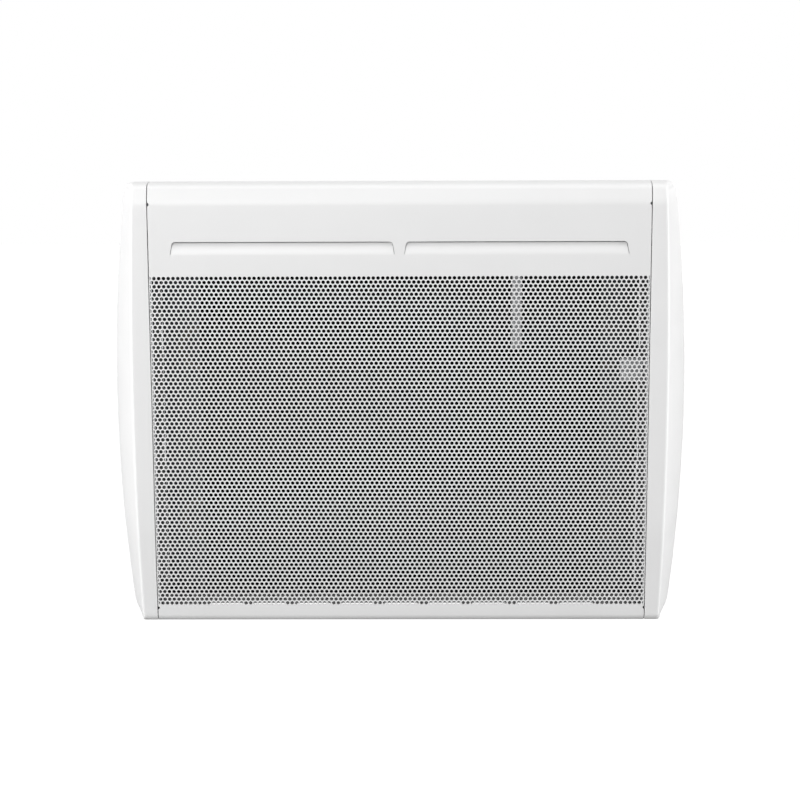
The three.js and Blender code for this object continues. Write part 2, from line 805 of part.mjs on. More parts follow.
// Strap that holds both runs of a hairpin in their grooves
function makeElementClip() {
  const wrap = tubeRadius + fit + strapSteel;
  const bulge = wrap - (tubeDepth - emitterBack) - fit - strapSteel;
  const angle = THREE.MathUtils.radToDeg(Math.acos(1 - bulge / (strapFillet + wrap)));
  const saddle = [bend(strapFillet, -angle), bend(wrap, 2 * angle, 4), bend(strapFillet, -angle)];
  const drop = dropOf(saddle);
  const moves = [run(strapFoot), ...saddle, run(hairpinSpacing - drop), ...saddle, run(strapFoot)];
  const line = trace([0, 0], -90, moves);
  const back = emitterBack - fit - strapSteel;
  return alongX(strip(moved(line, back, -lowest(line) / 2), -strapSteel), ...around(0, strapWidth));
}

// Lines of the leads beside the emitter, and the tray behind it with a notch for them to pass
const supplyLeadX = sidePlateInner - supplyLeadInset;
const returnLeadX = sidePlateInner - returnLeadInset;
const linkX = sidePlateInner - linkInset;

function makeReflector() {
  const turn = 90 - reflectorFlareAngle;
  const flap = reflectorFlareAngle;
  const flange = run(reflectorFlange);
  const wall = fieldHeight - 2 * reflectorFlange * Math.sin(radians(turn));
  const line = trace([0, 0], -90 - flap, [flange, bend(emitterCorner, flap, 2), run(wall),
    bend(emitterCorner, flap, 2), flange]);
  const rear = Math.min(...line.map(([depth]) => depth));
  const outline = moved(line, reflectorDepth - rear, emitterMiddle - (highest(line) + lowest(line)) / 2);
  const half = sidePlateInner - reflectorInset;
  const tray = alongX(strip(outline, -reflectorSteel), -half, half);
  const notch = block([supplyLeadX - leadRadius - leadRoom, half + overrun],
    [leadDepth - leadRadius - leadRoom, emitterDepth], [emitterMiddle, halfHeight]);
  const holes = leftAndRight.flatMap((side) => leftAndRight.map((end) => rod(spigotRadius + fit, "depth",
    reflectorDepth - overrun, reflectorDepth + overrun,
    place(side * pillarX, 0, emitterMiddle + end * pillarOffset), 10)));
  return cutBy(tray, notch, ...holes);
}

function makePillar() {
  const base = panelInnerDepth + fit;
  const shoulder = reflectorDepth - fit;
  return toSolid(turned([[0, base], [pillarBaseRadius, base], [pillarBaseRadius, base + pillarBase],
    [pillarRadius, base + pillarBase], [pillarRadius, shoulder], [spigotRadius, shoulder],
    [spigotRadius, emitterBack - fit], [0, emitterBack - fit]], "depth", 8));
}

function makeDeflector() {
  const turn = bend(deflectorRadius, deflectorLipAngle - 90, 4);
  const lipReach = faceDepth - deflectorGap - ending(trace([deflectorDepth, 0], 90, [turn]))[0];
  const lip = run(lipReach / Math.cos(radians(deflectorLipAngle)));
  const line = trace([deflectorDepth, fieldTop - deflectorLap], 90, [run(deflectorRise), turn, lip]);
  return alongX(strip(line, steel), -panelHalfWidth, panelHalfWidth);
}

function makeStay() {
  const front = deflectorDepth - fit;
  const reach = front - emitterDepth - fit;
  const [top, foot] = [fieldTop + stayRise, emitterMiddle + elementSpacing / 2];
  const line = trace([front, top], -90, [run(top - foot - stayBend), bend(stayBend, -90, 2),
    run(reach - stayBend)]);
  return alongX(strip(line, staySteel), ...around(stayX, stayWidth));
}

// Thermal cut-out on a bent bracket, and the room sensor, both on the right side plate
const cutoutPlateDepth = emitterDepth + cutoutAhead;
const cutoutHeight = emitterMiddle + innerRun;
const sensorHeight = fieldBottom - sensorDrop;

function makeCutoutBracket() {
  const line = trace([sidePlateInner, cutoutPlateDepth - cutoutTab], 90,
    [run(cutoutTab - stayBend), bend(stayBend, 90, 2), run(cutoutPlateWidth)]);
  return alongZ(strip(line, -steel), ...around(cutoutHeight, cutoutPlateHeight));
}

function makeCutout() {
  const front = cutoutPlateDepth - steel - fit;
  const body = front - cutoutLength;
  return toSolid(turned([[0, body - cutoutCap], [cutoutCapRadius, body - cutoutCap], [cutoutCapRadius, body],
    [cutoutRadius, body], [cutoutRadius, front], [0, front]], "depth", 14));
}

function makeSensor() {
  const centre = place(sidePlateInner - sensorBlock, 0, sensorHeight);
  const probe = rod(sensorRadius, "depth", ...around(sensorDepth, sensorLength), centre, 10);
  const holder = block([sidePlateInner - sensorBlock, sidePlateInner], around(sensorDepth, sensorBlock),
    around(sensorHeight, sensorBlock + sensorRadius));
  return joined(probe, holder);
}

// Leads between the control unit and the element terminals
const terminalX = emitterHalfWidth + elementLead + terminalLength;
const consoleFloor = topAt((consoleRearDepth + consoleFrontDepth) / 2) - consoleSink;
const housingBottom = consoleFloor - consoleBodyHeight;

function makeLead(x, height) {
  const corners = [place(x, leadDepth, housingBottom - fit), place(x, leadDepth, height),
    place(x, tubeDepth, height), place(terminalX + fit, tubeDepth, height)];
  return tube(roundedRoute(corners, leadBend), leadRadius, 6);
}

function makeLink() {
  const [lower, upper] = around(emitterMiddle, 2 * innerRun);
  const corners = [place(terminalX + fit, tubeDepth, upper), place(linkX, tubeDepth, upper),
    place(linkX, tubeDepth, lower), place(terminalX + fit, tubeDepth, lower)];
  return tube(roundedRoute(corners, leadBend), leadRadius, 6);
}

// Control unit
const consoleDepth = (consoleRearDepth + consoleFrontDepth) / 2;
const consoleDepthLength = consoleFrontDepth - consoleRearDepth;
const bodyHalf = consoleRim + fit;
const pocketHalf = consoleDepthLength / 2 - bodyHalf - consoleWall;
const dialRadius = dialShare * consoleDepthLength / 2;
const selectorRadius = selectorShare * dialRadius;
const thermostatWidth = 2 * (pocketHalf - ledge - regulatorRoom);
const selectorWidth = thermostatWidth - regulatorStep;
const rockerLength = 2 * (pocketHalf - rockerMargin - rockerFrameRim - rockerFrameWall - rockerRunning);
const relayWidth = 2 * relayShare * (pocketHalf - ledge - boardMargin);
const frameHalfWidth = rockerWidth / 2 + rockerRunning + rockerFrameWall + rockerFrameRim;
const consoleRight = seamHalfWidth - consoleEnd;
const dialX = consoleRight - bodyHalf - consoleWall - ledge - regulatorEnd - thermostatWidth / 2;
const selectorX = dialX - regulatorGap - (thermostatWidth + selectorWidth) / 2;
const switchX = selectorX - selectorWidth / 2 - rockerGap - frameHalfWidth;
const pilotX = switchX + frameHalfWidth + pilotRadius + pilotClear;
const consoleLeft = switchX - frameHalfWidth - rockerEnd - consoleWall - bodyHalf;
const consoleX = (consoleLeft + consoleRight) / 2;
const consoleLength = consoleRight - consoleLeft;
const fasciaUnder = consoleFloor - fasciaThickness;

function consoleBlock(inset, heights) {
  return block(around(consoleX, consoleLength - 2 * inset),
    around(consoleDepth, consoleDepthLength - 2 * inset), heights);
}

function makeControlHousing() {
  const rimDepths = [consoleRearDepth, consoleFrontDepth];
  const surface = rimDepths.map((depth) => [depth, topAt(depth)]);
  const under = rimDepths.map((depth) => [depth, topAt(depth) - steel]).reverse();
  const deep = rimDepths.map((depth) => [depth, housingBottom]).reverse();
  const rim = alongX([...surface, ...under], ...around(consoleX, consoleLength));
  const below = alongX([...surface, ...deep], ...around(consoleX, consoleLength));
  const body = below.intersect(consoleBlock(bodyHalf, [housingBottom, halfHeight]));
  const pocket = consoleBlock(bodyHalf + consoleWall, [fasciaUnder - fit, halfHeight]);
  const cavity = consoleBlock(bodyHalf + consoleWall + ledge, [housingBottom + consoleWall, halfHeight]);
  const leadHoles = [supplyLeadX, returnLeadX].map((x) =>
    rod(leadRadius, "z", housingBottom - overrun, housingBottom + consoleWall + overrun,
      place(x, leadDepth, 0), 6));
  return cutBy(joined(rim, body), pocket, cavity, ...leadHoles);
}

function makeFascia() {
  const plate = consoleBlock(bodyHalf + consoleWall + fit, [fasciaUnder, consoleFloor]);
  const through = [fasciaUnder - overrun, consoleFloor + overrun];
  const holes = [dialX, selectorX].map((x) =>
    rod(spindleRadius + fit, "z", ...through, place(x, consoleDepth, 0), 12));
  const frameHalf = rockerFrameWall + rockerRunning + fit;
  const window = block(around(switchX, rockerWidth + 2 * frameHalf),
    around(consoleDepth, rockerLength + 2 * frameHalf), through);
  return cutBy(plate, window, ...holes);
}

// Dials: a tapered skirt with a raised finger bar, bored for its spindle
function makeDial(radius) {
  const under = consoleFloor + dialClearance;
  const top = under + dialHeight;
  const knob = toSolid(turned([[0, under], [radius, under], [radius, under + dialSkirt],
    [radius - dialTaper, top - gripHeight - dialEdge], [radius - dialTaper - dialEdge, top - gripHeight],
    [0, top - gripHeight]], "z", 20));
  const face = 2 * (radius - dialTaper - dialEdge);
  const bar = block(around(0, gripWidth), around(0, face), [top - gripHeight - dialEdge, top]);
  const bore = rod(spindleRadius + fit, "z", under - overrun, under + spindleGrip, place(0, 0, 0), 12);
  return cutBy(joined(knob, bar), bore);
}

function makeSpindle() {
  const top = consoleFloor + dialClearance + spindleGrip - fit;
  return rod(spindleRadius, "z", fasciaUnder - fit - spindleSeat, top, place(0, 0, 0), 12);
}

function makeRegulator(width) {
  const top = fasciaUnder - fit;
  const body = block(around(0, width), around(0, width), [top - regulatorHeight, top]);
  const bore = rod(spindleRadius + fit, "z", top - spindleSeat - fit, top + overrun, place(0, 0, 0), 12);
  return cutBy(body, bore);
}

// Power switch: a rocker on a short shaft in its frame, at rest with its front end down
const rockerPivot = consoleFloor - rockerDrop;

function makeRocker() {
  const half = rockerLength / 2;
  const [under, top] = [-rockerThickness / 2, rockerThickness / 2];
  const outline = [[-half, under], [half, under], [half, top], [0, top - rockerCrown / 2], [-half, top]];
  const paddle = alongX(outline, ...around(0, rockerWidth));
  const shaftReach = rockerWidth / 2 + rockerShaftEnd;
  const shaft = rod(rockerShaftRadius, "x", -shaftReach, shaftReach, place(0, 0, 0), 10);
  return joined(paddle, shaft);
}

function makeRockerFrame() {
  const opening = [rockerWidth + 2 * rockerRunning, rockerLength + 2 * rockerRunning];
  const rim = rockerFrameRim + rockerFrameWall;
  const frame = (grow, heights) => block(around(switchX, opening[0] + 2 * grow),
    around(consoleDepth, opening[1] + 2 * grow), heights);
  const box = frame(rockerFrameWall, [consoleFloor - rockerFrameHeight, consoleFloor + fit]);
  const flange = frame(rim, [consoleFloor + fit, consoleFloor + fit + rockerFrameRim]);
  const bearing = rockerWidth / 2 + rockerShaftEnd + fit;
  const shaft = rod(rockerShaftRadius + fit, "x", switchX - bearing, switchX + bearing,
    place(0, consoleDepth, rockerPivot), 10);
  const well = frame(0, [consoleFloor - rockerFrameHeight + rockerFrameWall, halfHeight]);
  return cutBy(joined(box, flange), well, shaft);
}

function makePilotLens() {
  return toSolid(turned([[0, 0], [pilotRadius, 0], [pilotRadius, pilotHeight / 2],
    [pilotRadius / 2, pilotHeight], [0, pilotHeight]], "z", 12));
}

function makeCircuitBoard() {
  const floor = housingBottom + consoleWall + fit;
  const inset = bodyHalf + consoleWall + ledge + boardMargin;
  const board = consoleBlock(inset, [floor, floor + boardThickness]);
  const relays = leftAndRight.map((side) => block(around(consoleX + side * relayWidth, relayWidth),
    around(consoleDepth, relayWidth), [floor + boardThickness / 2, floor + boardThickness + relayHeight]));
  return joined(board, ...relays);
}

function makeTerminalBlock() {
  const top = housingBottom - terminalBlockDrop;
  const depths = [panelInnerDepth + fit, panelInnerDepth + fit + terminalBlockDepth];
  const body = block(around(consoleX, terminalBlockLength), depths, [top - terminalBlockHeight, top]);
  const bores = [];
  for (let index = 0; index < terminalBoreCount; index += 1) {
    const x = consoleX + (index - (terminalBoreCount - 1) / 2) * terminalBlockLength / terminalBoreCount;
    bores.push(rod(terminalBoreRadius, "depth", depths[1] - terminalBlockDepth / 2, depths[1] + overrun,
      place(x, 0, top - terminalBlockHeight / 2), 8));
  }
  return cutBy(body, ...bores);
}

function makeGland() {
  const outside = rearDepth - fit;
  const inside = panelInnerDepth + fit;
  const tail = outside - glandTail;
  const collar = outside - glandFlange;
  const dome = [[glandBoreRadius, tail], [glandRadius - glandFlange / 2, tail], [glandRadius, collar]];
  const flange = [[glandFlangeRadius, collar], [glandFlangeRadius, outside], [glandRadius, outside]];
  const nut = [[glandRadius, inside], [glandFlangeRadius, inside], [glandFlangeRadius, inside + glandNut],
    [glandBoreRadius, inside + glandNut]];
  return toSolid(turned([...dome, ...flange, ...nut, dome[0]], "depth", 12));
}

// Wall bracket
const railLevel = halfHeight - railEnd;
const latchHeight = halfHeight - latchDrop;
const stopHeight = halfHeight - stopDrop;

function makeUpright() {
  const half = uprightWidth / 2;
  const legs = run(uprightDepth - bracketBend);
  const line = trace([-half, 0], 90, [legs, bend(bracketBend, -90, 2), run(uprightWidth - 2 * bracketBend),
    bend(bracketBend, -90, 2), legs]);
  return alongZ(strip(line, bracketSteel), uprightFootRise - halfHeight, halfHeight - uprightTopDrop);
}

function makeRail(keyed) {
  const legs = run(railDepth - bracketBend);
  const line = trace([railDepth, railHeight / 2], 180, [legs, bend(bracketBend, 90, 2),
    run(railHeight - 2 * bracketBend), bend(bracketBend, 90, 2), legs]);
  const reach = hookX - uprightWidth / 2 - fit;
  const rail = alongX(strip(line, -bracketSteel), -reach, reach);
  const keys = !keyed ? [] : leftAndRight.flatMap((side) => {
    const centre = place(side * (hookX - keyInset), 0, 0);
    const eye = rod(keyRadius, "depth", -overrun, bracketSteel + overrun, centre, 10);
    const slot = block(around(centre.x, 2 * keySlotRadius), [-overrun, bracketSteel + overrun],
      [0, keySlotRun - keySlotRadius]);
    return [eye, slot];
  });
  return cutBy(rail, ...keys);
}

function makeHook() {
  const notch = pinRadius + fit;
  const outer = notch + hookLip;
  const rear = uprightDepth + fit - pivotDepth;
  const bottom = trace([outer, 0], -90, [bend(outer, -90, 4)]);
  const cradle = trace([-notch, 0], -90, [bend(notch, 180, 6)]);
  const outline = [[outer, hookLipRise], ...bottom, [rear, -outer], [rear, hookTail], [-notch, hookTail],
    ...cradle, [notch, hookLipRise]];
  return alongX(outline, ...around(0, hookThickness));
}

function makePivotPin() {
  const reach = hookThickness / 2 + lugGap + lugThickness + fit;
  return toSolid(turned([[0, -reach - pinHead], [pinHeadRadius, -reach - pinHead], [pinHeadRadius, -reach],
    [pinRadius, -reach], [pinRadius, reach], [pinHeadRadius, reach], [pinHeadRadius, reach + pinHead],
    [0, reach + pinHead]], "x", 10));
}

function makeSpringClip() {
  const gap = studHeadRadius + fit;
  const floor = uprightDepth + fit + clipSteel;
  const half = [[gap + clipFlare, clipTipDepth], [gap, clipNeckDepth], [gap + clipBelly, floor + clipBelly],
    [gap + clipBelly, floor]];
  const line = [...half, ...half.map(([x, depth]) => [-x, depth]).reverse()];
  return alongZ(strip(line, -clipSteel), ...around(0, clipLength));
}

function makeLatchStud() {
  const base = rearDepth - fit;
  const tail = uprightDepth + fit + clipSteel + studTailGap;
  return toSolid(turned([[0, tail], [studHeadRadius / 2, tail], [studHeadRadius, tail + studHead / 2],
    [studHeadRadius, tail + studHead], [studNeckRadius, tail + studHead], [studNeckRadius, base - studBase],
    [studBaseRadius, base - studBase], [studBaseRadius, base], [0, base]], "depth", 8));
}

function makeRearStop() {
  const [wall, base] = [uprightDepth + fit, rearDepth - fit];
  return toSolid(turned([[0, wall], [stopRadius - stopEdge, wall], [stopRadius, wall + stopEdge],
    [stopRadius, base], [0, base]], "depth", 10));
}

// Finishes
const finishes = {
  whiteSteel: { color: 0xf0f1f2, roughness: 0.42, metalness: 0 },
  whitePlastic: { color: 0xf2f2f2, roughness: 0.45, metalness: 0 },
  zincSteel: { color: 0xb9bcc0, roughness: 0.45, metalness: 0.9 },
  brightSteel: { color: 0xc9cbce, roughness: 0.3, metalness: 1 },
  darkAluminium: { color: 0x2a2b2d, roughness: 0.55, metalness: 0.6 },
  aluminisedSteel: { color: 0xd2d4d6, roughness: 0.25, metalness: 1 },
  bluedSteel: { color: 0x33363b, roughness: 0.5, metalness: 0.8 },
  elementSteel: { color: 0x5c5a57, roughness: 0.5, metalness: 0.9 },
  greyPlastic: { color: 0x8c8f93, roughness: 0.5, metalness: 0 },
  blackPlastic: { color: 0x232426, roughness: 0.5, metalness: 0 },
  blackRubber: { color: 0x1d1d1e, roughness: 0.85, metalness: 0 },
  leadSleeve: { color: 0x1f1f20, roughness: 0.7, metalness: 0 },
  boardLaminate: { color: 0x2f5d3a, roughness: 0.6, metalness: 0 },
  amberLens: { color: 0xd98a2b, roughness: 0.15, metalness: 0 },
};

const heater = new THREE.Group();

function add(name, solid, finish, position = place(0, 0, 0), turn = 0) {
  const mesh = new THREE.Mesh(toGeometry(solid), new THREE.MeshStandardMaterial(finishes[finish]));
  mesh.name = name;
  mesh.position.copy(position);
  mesh.rotation.x = turn;
  heater.add(mesh);
}

function addPair(name, solid, finish, position) {
  for (const [label, side] of [["left", -1], ["right", 1]]) {
    const there = position.clone();
    there.x *= side;
    add(`${label}_${name}`, solid, finish, there);
  }
}

const rightCheek = makeRightCheek();
const rightSidePlate = makeRightSidePlate();
add("front_sheet", makeFrontSheet(), "whiteSteel");
add("left_cheek", mirrored(rightCheek), "whitePlastic");
add("right_cheek", rightCheek, "whitePlastic");
add("back_panel", makeBackPanel(), "whiteSteel");
add("left_side_plate", mirrored(rightSidePlate), "zincSteel");
add("right_side_plate", rightSidePlate, "zincSteel");
addPair("latch_stud", makeLatchStud(), "brightSteel", place(hookX, 0, latchHeight));
addPair("rear_stop", makeRearStop(), "blackRubber", place(hookX, 0, stopHeight));
addPair("pivot_pin", makePivotPin(), "brightSteel", place(hookX, pivotDepth, pivotHeight));
for (const [label, end] of [["upper", 1], ["lower", -1]]) {
  const seat = place(seamHalfWidth + fit + cheekScrewInset, rearDepth - fit, end * cheekScrewHeight);
  addPair(`${label}_cheek_screw`, screw(), "brightSteel", seat);
}

add("air_deflector", makeDeflector(), "aluminisedSteel");
add("emitter_stay", makeStay(), "zincSteel");
add("emitter_plate", makeEmitter(), "darkAluminium");
add("reflector", makeReflector(), "bluedSteel");
for (const [label, end] of [["upper", 1], ["lower", -1]]) {
  const middle = emitterMiddle + end * elementSpacing / 2;
  add(`${label}_element`, makeElement(), "elementSteel", place(0, tubeDepth, middle));
  addPair(`${label}_element_clip`, makeElementClip(), "brightSteel", place(clipOffset, 0, middle));
  const pillar = place(pillarX, 0, emitterMiddle + end * pillarOffset);
  addPair(`${label}_emitter_pillar`, makePillar(), "zincSteel", pillar);
}
add("cutout_bracket", makeCutoutBracket(), "zincSteel");
add("thermal_cutout", makeCutout(), "blackPlastic", place(sidePlateInner - cutoutInset, 0, cutoutHeight));
add("room_sensor", makeSensor(), "greyPlastic");
add("supply_lead", makeLead(supplyLeadX, emitterMiddle + outerRun), "leadSleeve");
add("return_lead", makeLead(returnLeadX, emitterMiddle - outerRun), "leadSleeve");
add("element_link", makeLink(), "leadSleeve");

add("control_housing", makeControlHousing(), "whitePlastic");
add("control_fascia", makeFascia(), "greyPlastic");
add("thermostat_body", makeRegulator(thermostatWidth), "blackPlastic", place(dialX, consoleDepth, 0));
add("thermostat_spindle", makeSpindle(), "greyPlastic", place(dialX, consoleDepth, 0));
add("thermostat_dial", makeDial(dialRadius), "whitePlastic", place(dialX, consoleDepth, 0));
add("selector_body", makeRegulator(selectorWidth), "blackPlastic", place(selectorX, consoleDepth, 0));
add("selector_spindle", makeSpindle(), "greyPlastic", place(selectorX, consoleDepth, 0));
add("selector_dial", makeDial(selectorRadius), "whitePlastic", place(selectorX, consoleDepth, 0));
add("rocker_frame", makeRockerFrame(), "blackPlastic");
const rockerSeat = place(switchX, consoleDepth, rockerPivot);
add("power_rocker", makeRocker(), "blackPlastic", rockerSeat, radians(rockerTilt));
add("pilot_lens", makePilotLens(), "amberLens",
  place(pilotX, consoleRearDepth + bodyHalf + consoleWall + pilotGap, consoleFloor + fit));
add("circuit_board", makeCircuitBoard(), "boardLaminate");
add("terminal_block", makeTerminalBlock(), "greyPlastic");
add("cable_gland", makeGland(), "blackPlastic", place(consoleX, 0, glandHeight));

addPair("upright", makeUpright(), "zincSteel", place(hookX, 0, 0));
add("top_rail", makeRail(true), "zincSteel", place(0, 0, railLevel));
add("middle_rail", makeRail(false), "zincSteel");
add("bottom_rail", makeRail(true), "zincSteel", place(0, 0, -railLevel));
addPair("hook", makeHook(), "zincSteel", place(hookX, pivotDepth, pivotHeight));
addPair("spring_clip", makeSpringClip(), "brightSteel", place(hookX, 0, latchHeight));

export default heater;
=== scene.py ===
"""Looks of a wall-hung radiant panel heater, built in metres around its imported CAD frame.

The wall is the plane y = 0, the room lies towards -Y, +X runs to the right and +Z up.
Sizes are in millimetres and depths are measured from the wall into the room.
"""

import logging
import math
from dataclasses import dataclass
from enum import Enum
from typing import Callable, Iterable, Sequence

import bmesh
import bpy
import numpy as np
from mathutils import Matrix, Vector
from mathutils.geometry import tessellate_polygon


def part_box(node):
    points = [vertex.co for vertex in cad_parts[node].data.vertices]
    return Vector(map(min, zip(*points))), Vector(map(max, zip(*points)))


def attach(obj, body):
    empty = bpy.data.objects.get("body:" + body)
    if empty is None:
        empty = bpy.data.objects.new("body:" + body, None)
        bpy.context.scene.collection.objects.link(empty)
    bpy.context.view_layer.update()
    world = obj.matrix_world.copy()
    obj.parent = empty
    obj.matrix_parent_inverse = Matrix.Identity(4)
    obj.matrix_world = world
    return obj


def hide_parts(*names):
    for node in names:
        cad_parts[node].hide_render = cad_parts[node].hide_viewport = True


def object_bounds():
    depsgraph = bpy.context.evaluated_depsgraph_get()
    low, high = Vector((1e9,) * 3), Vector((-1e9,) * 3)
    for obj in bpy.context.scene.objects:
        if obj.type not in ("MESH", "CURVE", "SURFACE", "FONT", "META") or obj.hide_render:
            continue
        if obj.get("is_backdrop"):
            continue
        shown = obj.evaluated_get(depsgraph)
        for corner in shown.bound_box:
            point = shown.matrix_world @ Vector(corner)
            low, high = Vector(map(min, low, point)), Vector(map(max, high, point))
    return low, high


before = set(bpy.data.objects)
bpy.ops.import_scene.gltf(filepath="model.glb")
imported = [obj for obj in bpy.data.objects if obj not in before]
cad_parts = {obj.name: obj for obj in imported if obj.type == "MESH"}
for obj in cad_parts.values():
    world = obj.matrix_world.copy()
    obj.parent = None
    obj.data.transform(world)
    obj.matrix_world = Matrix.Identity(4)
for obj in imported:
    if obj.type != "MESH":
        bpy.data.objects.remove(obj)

CAD_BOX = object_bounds()
MM = 0.001
TINY = 1e-6
WELD = 1e7
ROUND_SHARE = 0.45
SIDES = ("left", "right")
Pair = tuple[float, float]
Colour = tuple[float, float, float, float]
Piece = bpy.types.Object
Socket = bpy.types.NodeSocket
Tree = bpy.types.NodeTree
log = logging.getLogger("heater")


def tone(red: float, green: float, blue: float) -> Colour:
    """A linear colour with full cover."""
    return (red, green, blue, 1.0)


def grey(level: float) -> Colour:
    """A neutral linear colour with full cover."""
    return tone(level, level, level)


def spot(x: float, depth: float, z: float) -> Vector:
    """A point of the row frame from millimetres, with its depth from the wall."""
    return Vector((x * MM, -depth * MM, z * MM))


# ---- Side profile ----


@dataclass(frozen=True)
class Run:
    """A straight stretch of bent sheet."""

    length: float


@dataclass(frozen=True)
class Bend:
    """A bend of bent sheet, turning left where the turn is positive."""

    radius: float
    turn: float


Move = Run | Bend


def trace(start: Pair, heading: float, moves: Sequence[Move], step: float = 3.0) -> list[Pair]:
    """Follows moves from a start point.

    Args:
        start: First depth and height.
        heading: Direction of travel in degrees from the depth axis.
        moves: Straight stretches and bends in order.
        step: Most degrees between neighbouring points of a bend.

    Returns:
        Points of depth and height.
    """
    a, b = start
    angle = math.radians(heading)
    points = [(a, b)]
    for move in moves:
        count, turn = 1, 0.0
        if isinstance(move, Bend):
            count = max(1, math.ceil(abs(move.turn) / step))
            turn = math.radians(move.turn) / count
            length = 2 * move.radius * math.sin(abs(turn) / 2)
        else:
            length = move.length
        for _ in range(count):
            angle += turn / 2
            a += length * math.cos(angle)
            b += length * math.sin(angle)
            angle += turn / 2
            points.append((a, b))
    return points


@dataclass(frozen=True)
class CaseSize:
    """Sizes that the front sheet, the cheeks and the control unit share."""

    height: float = 451.0
    seam_half_width: float = 249.6
    face_depth: float = 116.0
    rear_depth: float = 30.0
    steel: float = 1.0
    fit: float = 0.3
    crown_return: float = 5.6
    crown_radius: float = 90.0
    crown_rear_angle: float = 7.5
    crown_front_angle: float = 8.0
    roll_radius: float = 8.0
    lean_run: float = 8.0
    lean_angle: float = 16.6
    shoulder_radius: float = 30.0
    toe_radius: float = 150.0
    toe_angle: float = 2.6
    toe_run: float = 85.0
    hem_radius: float = 7.5
    hem_rise_angle: float = 2.0
    hem_return: float = 15.5

    @property
    def half_height(self) -> float:
        """Half of the case height."""
        return self.height / 2


class SheetLine:
    """The outer face of the front sheet seen from the side, measured along the metal."""

    def __init__(self, size: CaseSize) -> None:
        """Traces the line from the top return to the bottom return.

        Args:
            size: Sizes of the case.
        """
        self.size = size
        top_moves = [
            Run(size.crown_return),
            Bend(size.crown_radius, -(size.crown_rear_angle + size.crown_front_angle)),
            Bend(size.roll_radius, -(90 - size.crown_front_angle - size.lean_angle)),
            Run(size.lean_run),
            Bend(size.shoulder_radius, -size.lean_angle),
        ]
        bottom_moves = [
            Bend(size.toe_radius, -size.toe_angle),
            Run(size.toe_run),
            Bend(size.hem_radius, -(90 - size.toe_angle + size.hem_rise_angle)),
            Run(size.hem_return),
        ]
        top = np.array(trace((0, 0), size.crown_rear_angle, top_moves))
        bottom = np.array(trace((0, 0), -90, bottom_moves))
        flat = size.height - (top[:, 1].max() - top[-1, 1]) + bottom[:, 1].min()
        line = np.array(
            trace((0, 0), size.crown_rear_angle, [*top_moves, Run(flat), *bottom_moves])
        )
        line += (size.face_depth - line[:, 0].max(), size.half_height - line[:, 1].max())
        self.points = line
        steps = np.hypot(*np.diff(line, axis=0).T)
        self.lengths = np.concatenate(([0.0], np.cumsum(steps)))
        ways = np.diff(line, axis=0) / steps[:, None]
        joined = np.vstack((ways[:1], ways[:-1] + ways[1:], ways[-1:]))
        joined /= np.linalg.norm(joined, axis=1)[:, None]
        self.normals = np.column_stack((-joined[:, 1], joined[:, 0]))
        peak = int(line[:, 1].argmax())
        foot = int(line[:, 1].argmin())
        self._front = slice(peak, foot + 1)

    def length_at(self, height: float) -> float:
        """Length along the metal at which its front reaches a height."""
        heights = self.points[self._front, 1]
        return float(np.interp(-height, -heights, self.lengths[self._front]))

    def place(self, x: float, length: float, inward: float = 0.0) -> Vector:
        """A point on the sheet.

        Args:
            x: Place across the heater.
            length: Length along the metal from the top return.
            inward: Distance behind the outer face.

        Returns:
            The point in the row frame.
        """
        depth = np.interp(length, self.lengths, self.points[:, 0])
        height = np.interp(length, self.lengths, self.points[:, 1])
        way = np.array([np.interp(length, self.lengths, self.normals[:, axis]) for axis in (0, 1)])
        way /= np.linalg.norm(way)
        return spot(x, depth - inward * way[0], height - inward * way[1])

    def closed(self) -> np.ndarray:
        """The case profile, closed along its rear plane."""
        size = self.size
        start, stop = self.points[0], self.points[-1]
        rise = math.tan(math.radians(size.crown_rear_angle))
        fall = math.tan(math.radians(size.hem_rise_angle))
        top = start[1] - (start[0] - size.rear_depth) * rise
        bottom = stop[1] + (stop[0] - size.rear_depth) * fall
        return np.vstack(((size.rear_depth, top), self.points, (size.rear_depth, bottom)))


# ---- Meshes ----


class MeshDraft:
    """Corners and faces of a piece, with corners that share a place welded."""

    def __init__(self) -> None:
        """Starts an empty draft."""
        self.corners: list[tuple[float, float, float]] = []
        self.faces: list[tuple[int, ...]] = []
        self._known: dict[tuple[int, int, int], int] = {}

    def corner(self, place: Sequence[float]) -> int:
        """The number of the corner at a place, new or known.

        Args:
            place: Its place in the row frame.

        Returns:
            Its number.
        """
        key = tuple(round(value * WELD) for value in place)
        if key not in self._known:
            self._known[key] = len(self.corners)
            self.corners.append(tuple(place))
        return self._known[key]

    def face(self, corners: Iterable[int]) -> None:
        """Adds a face, leaving out corners that repeat.

        Args:
            corners: Corner numbers in order.
        """
        ring: list[int] = []
        for number in corners:
            if not ring or number != ring[-1]:
                ring.append(number)
        if len(ring) > 1 and ring[0] == ring[-1]:
            ring.pop()
        if len(ring) > 2 and len(set(ring)) == len(ring):
            self.faces.append(tuple(ring))

    def build(self, name: str, smooth_angle: float = 35.0, outward: bool = True) -> Piece:
        """Makes the object.

        Args:
            name: Name of the piece.
            smooth_angle: Edges sharper than this many degrees stay crisp.
            outward: Turns every face outwards first.

        Returns:
            The new object, in the scene.
        """
        mesh = bpy.data.meshes.new(name)
        mesh.from_pydata(self.corners, [], self.faces)
        mesh.validate()
        if outward:
            work = bmesh.new()
            work.from_mesh(mesh)
            bmesh.ops.recalc_face_normals(work, faces=work.faces)
            work.to_mesh(mesh)
            work.free()
        shade(mesh, smooth_angle)
        mesh.update()
        piece = bpy.data.objects.new(name, mesh)
        bpy.context.scene.collection.objects.link(piece)
        return piece


def shade(mesh: bpy.types.Mesh, smooth_angle: float) -> None:
    """Shades a mesh smooth, but for edges sharper than an angle in degrees."""
    mesh.polygons.foreach_set("use_smooth", [True] * len(mesh.polygons))
    mesh.set_sharp_from_angle(angle=math.radians(smooth_angle))


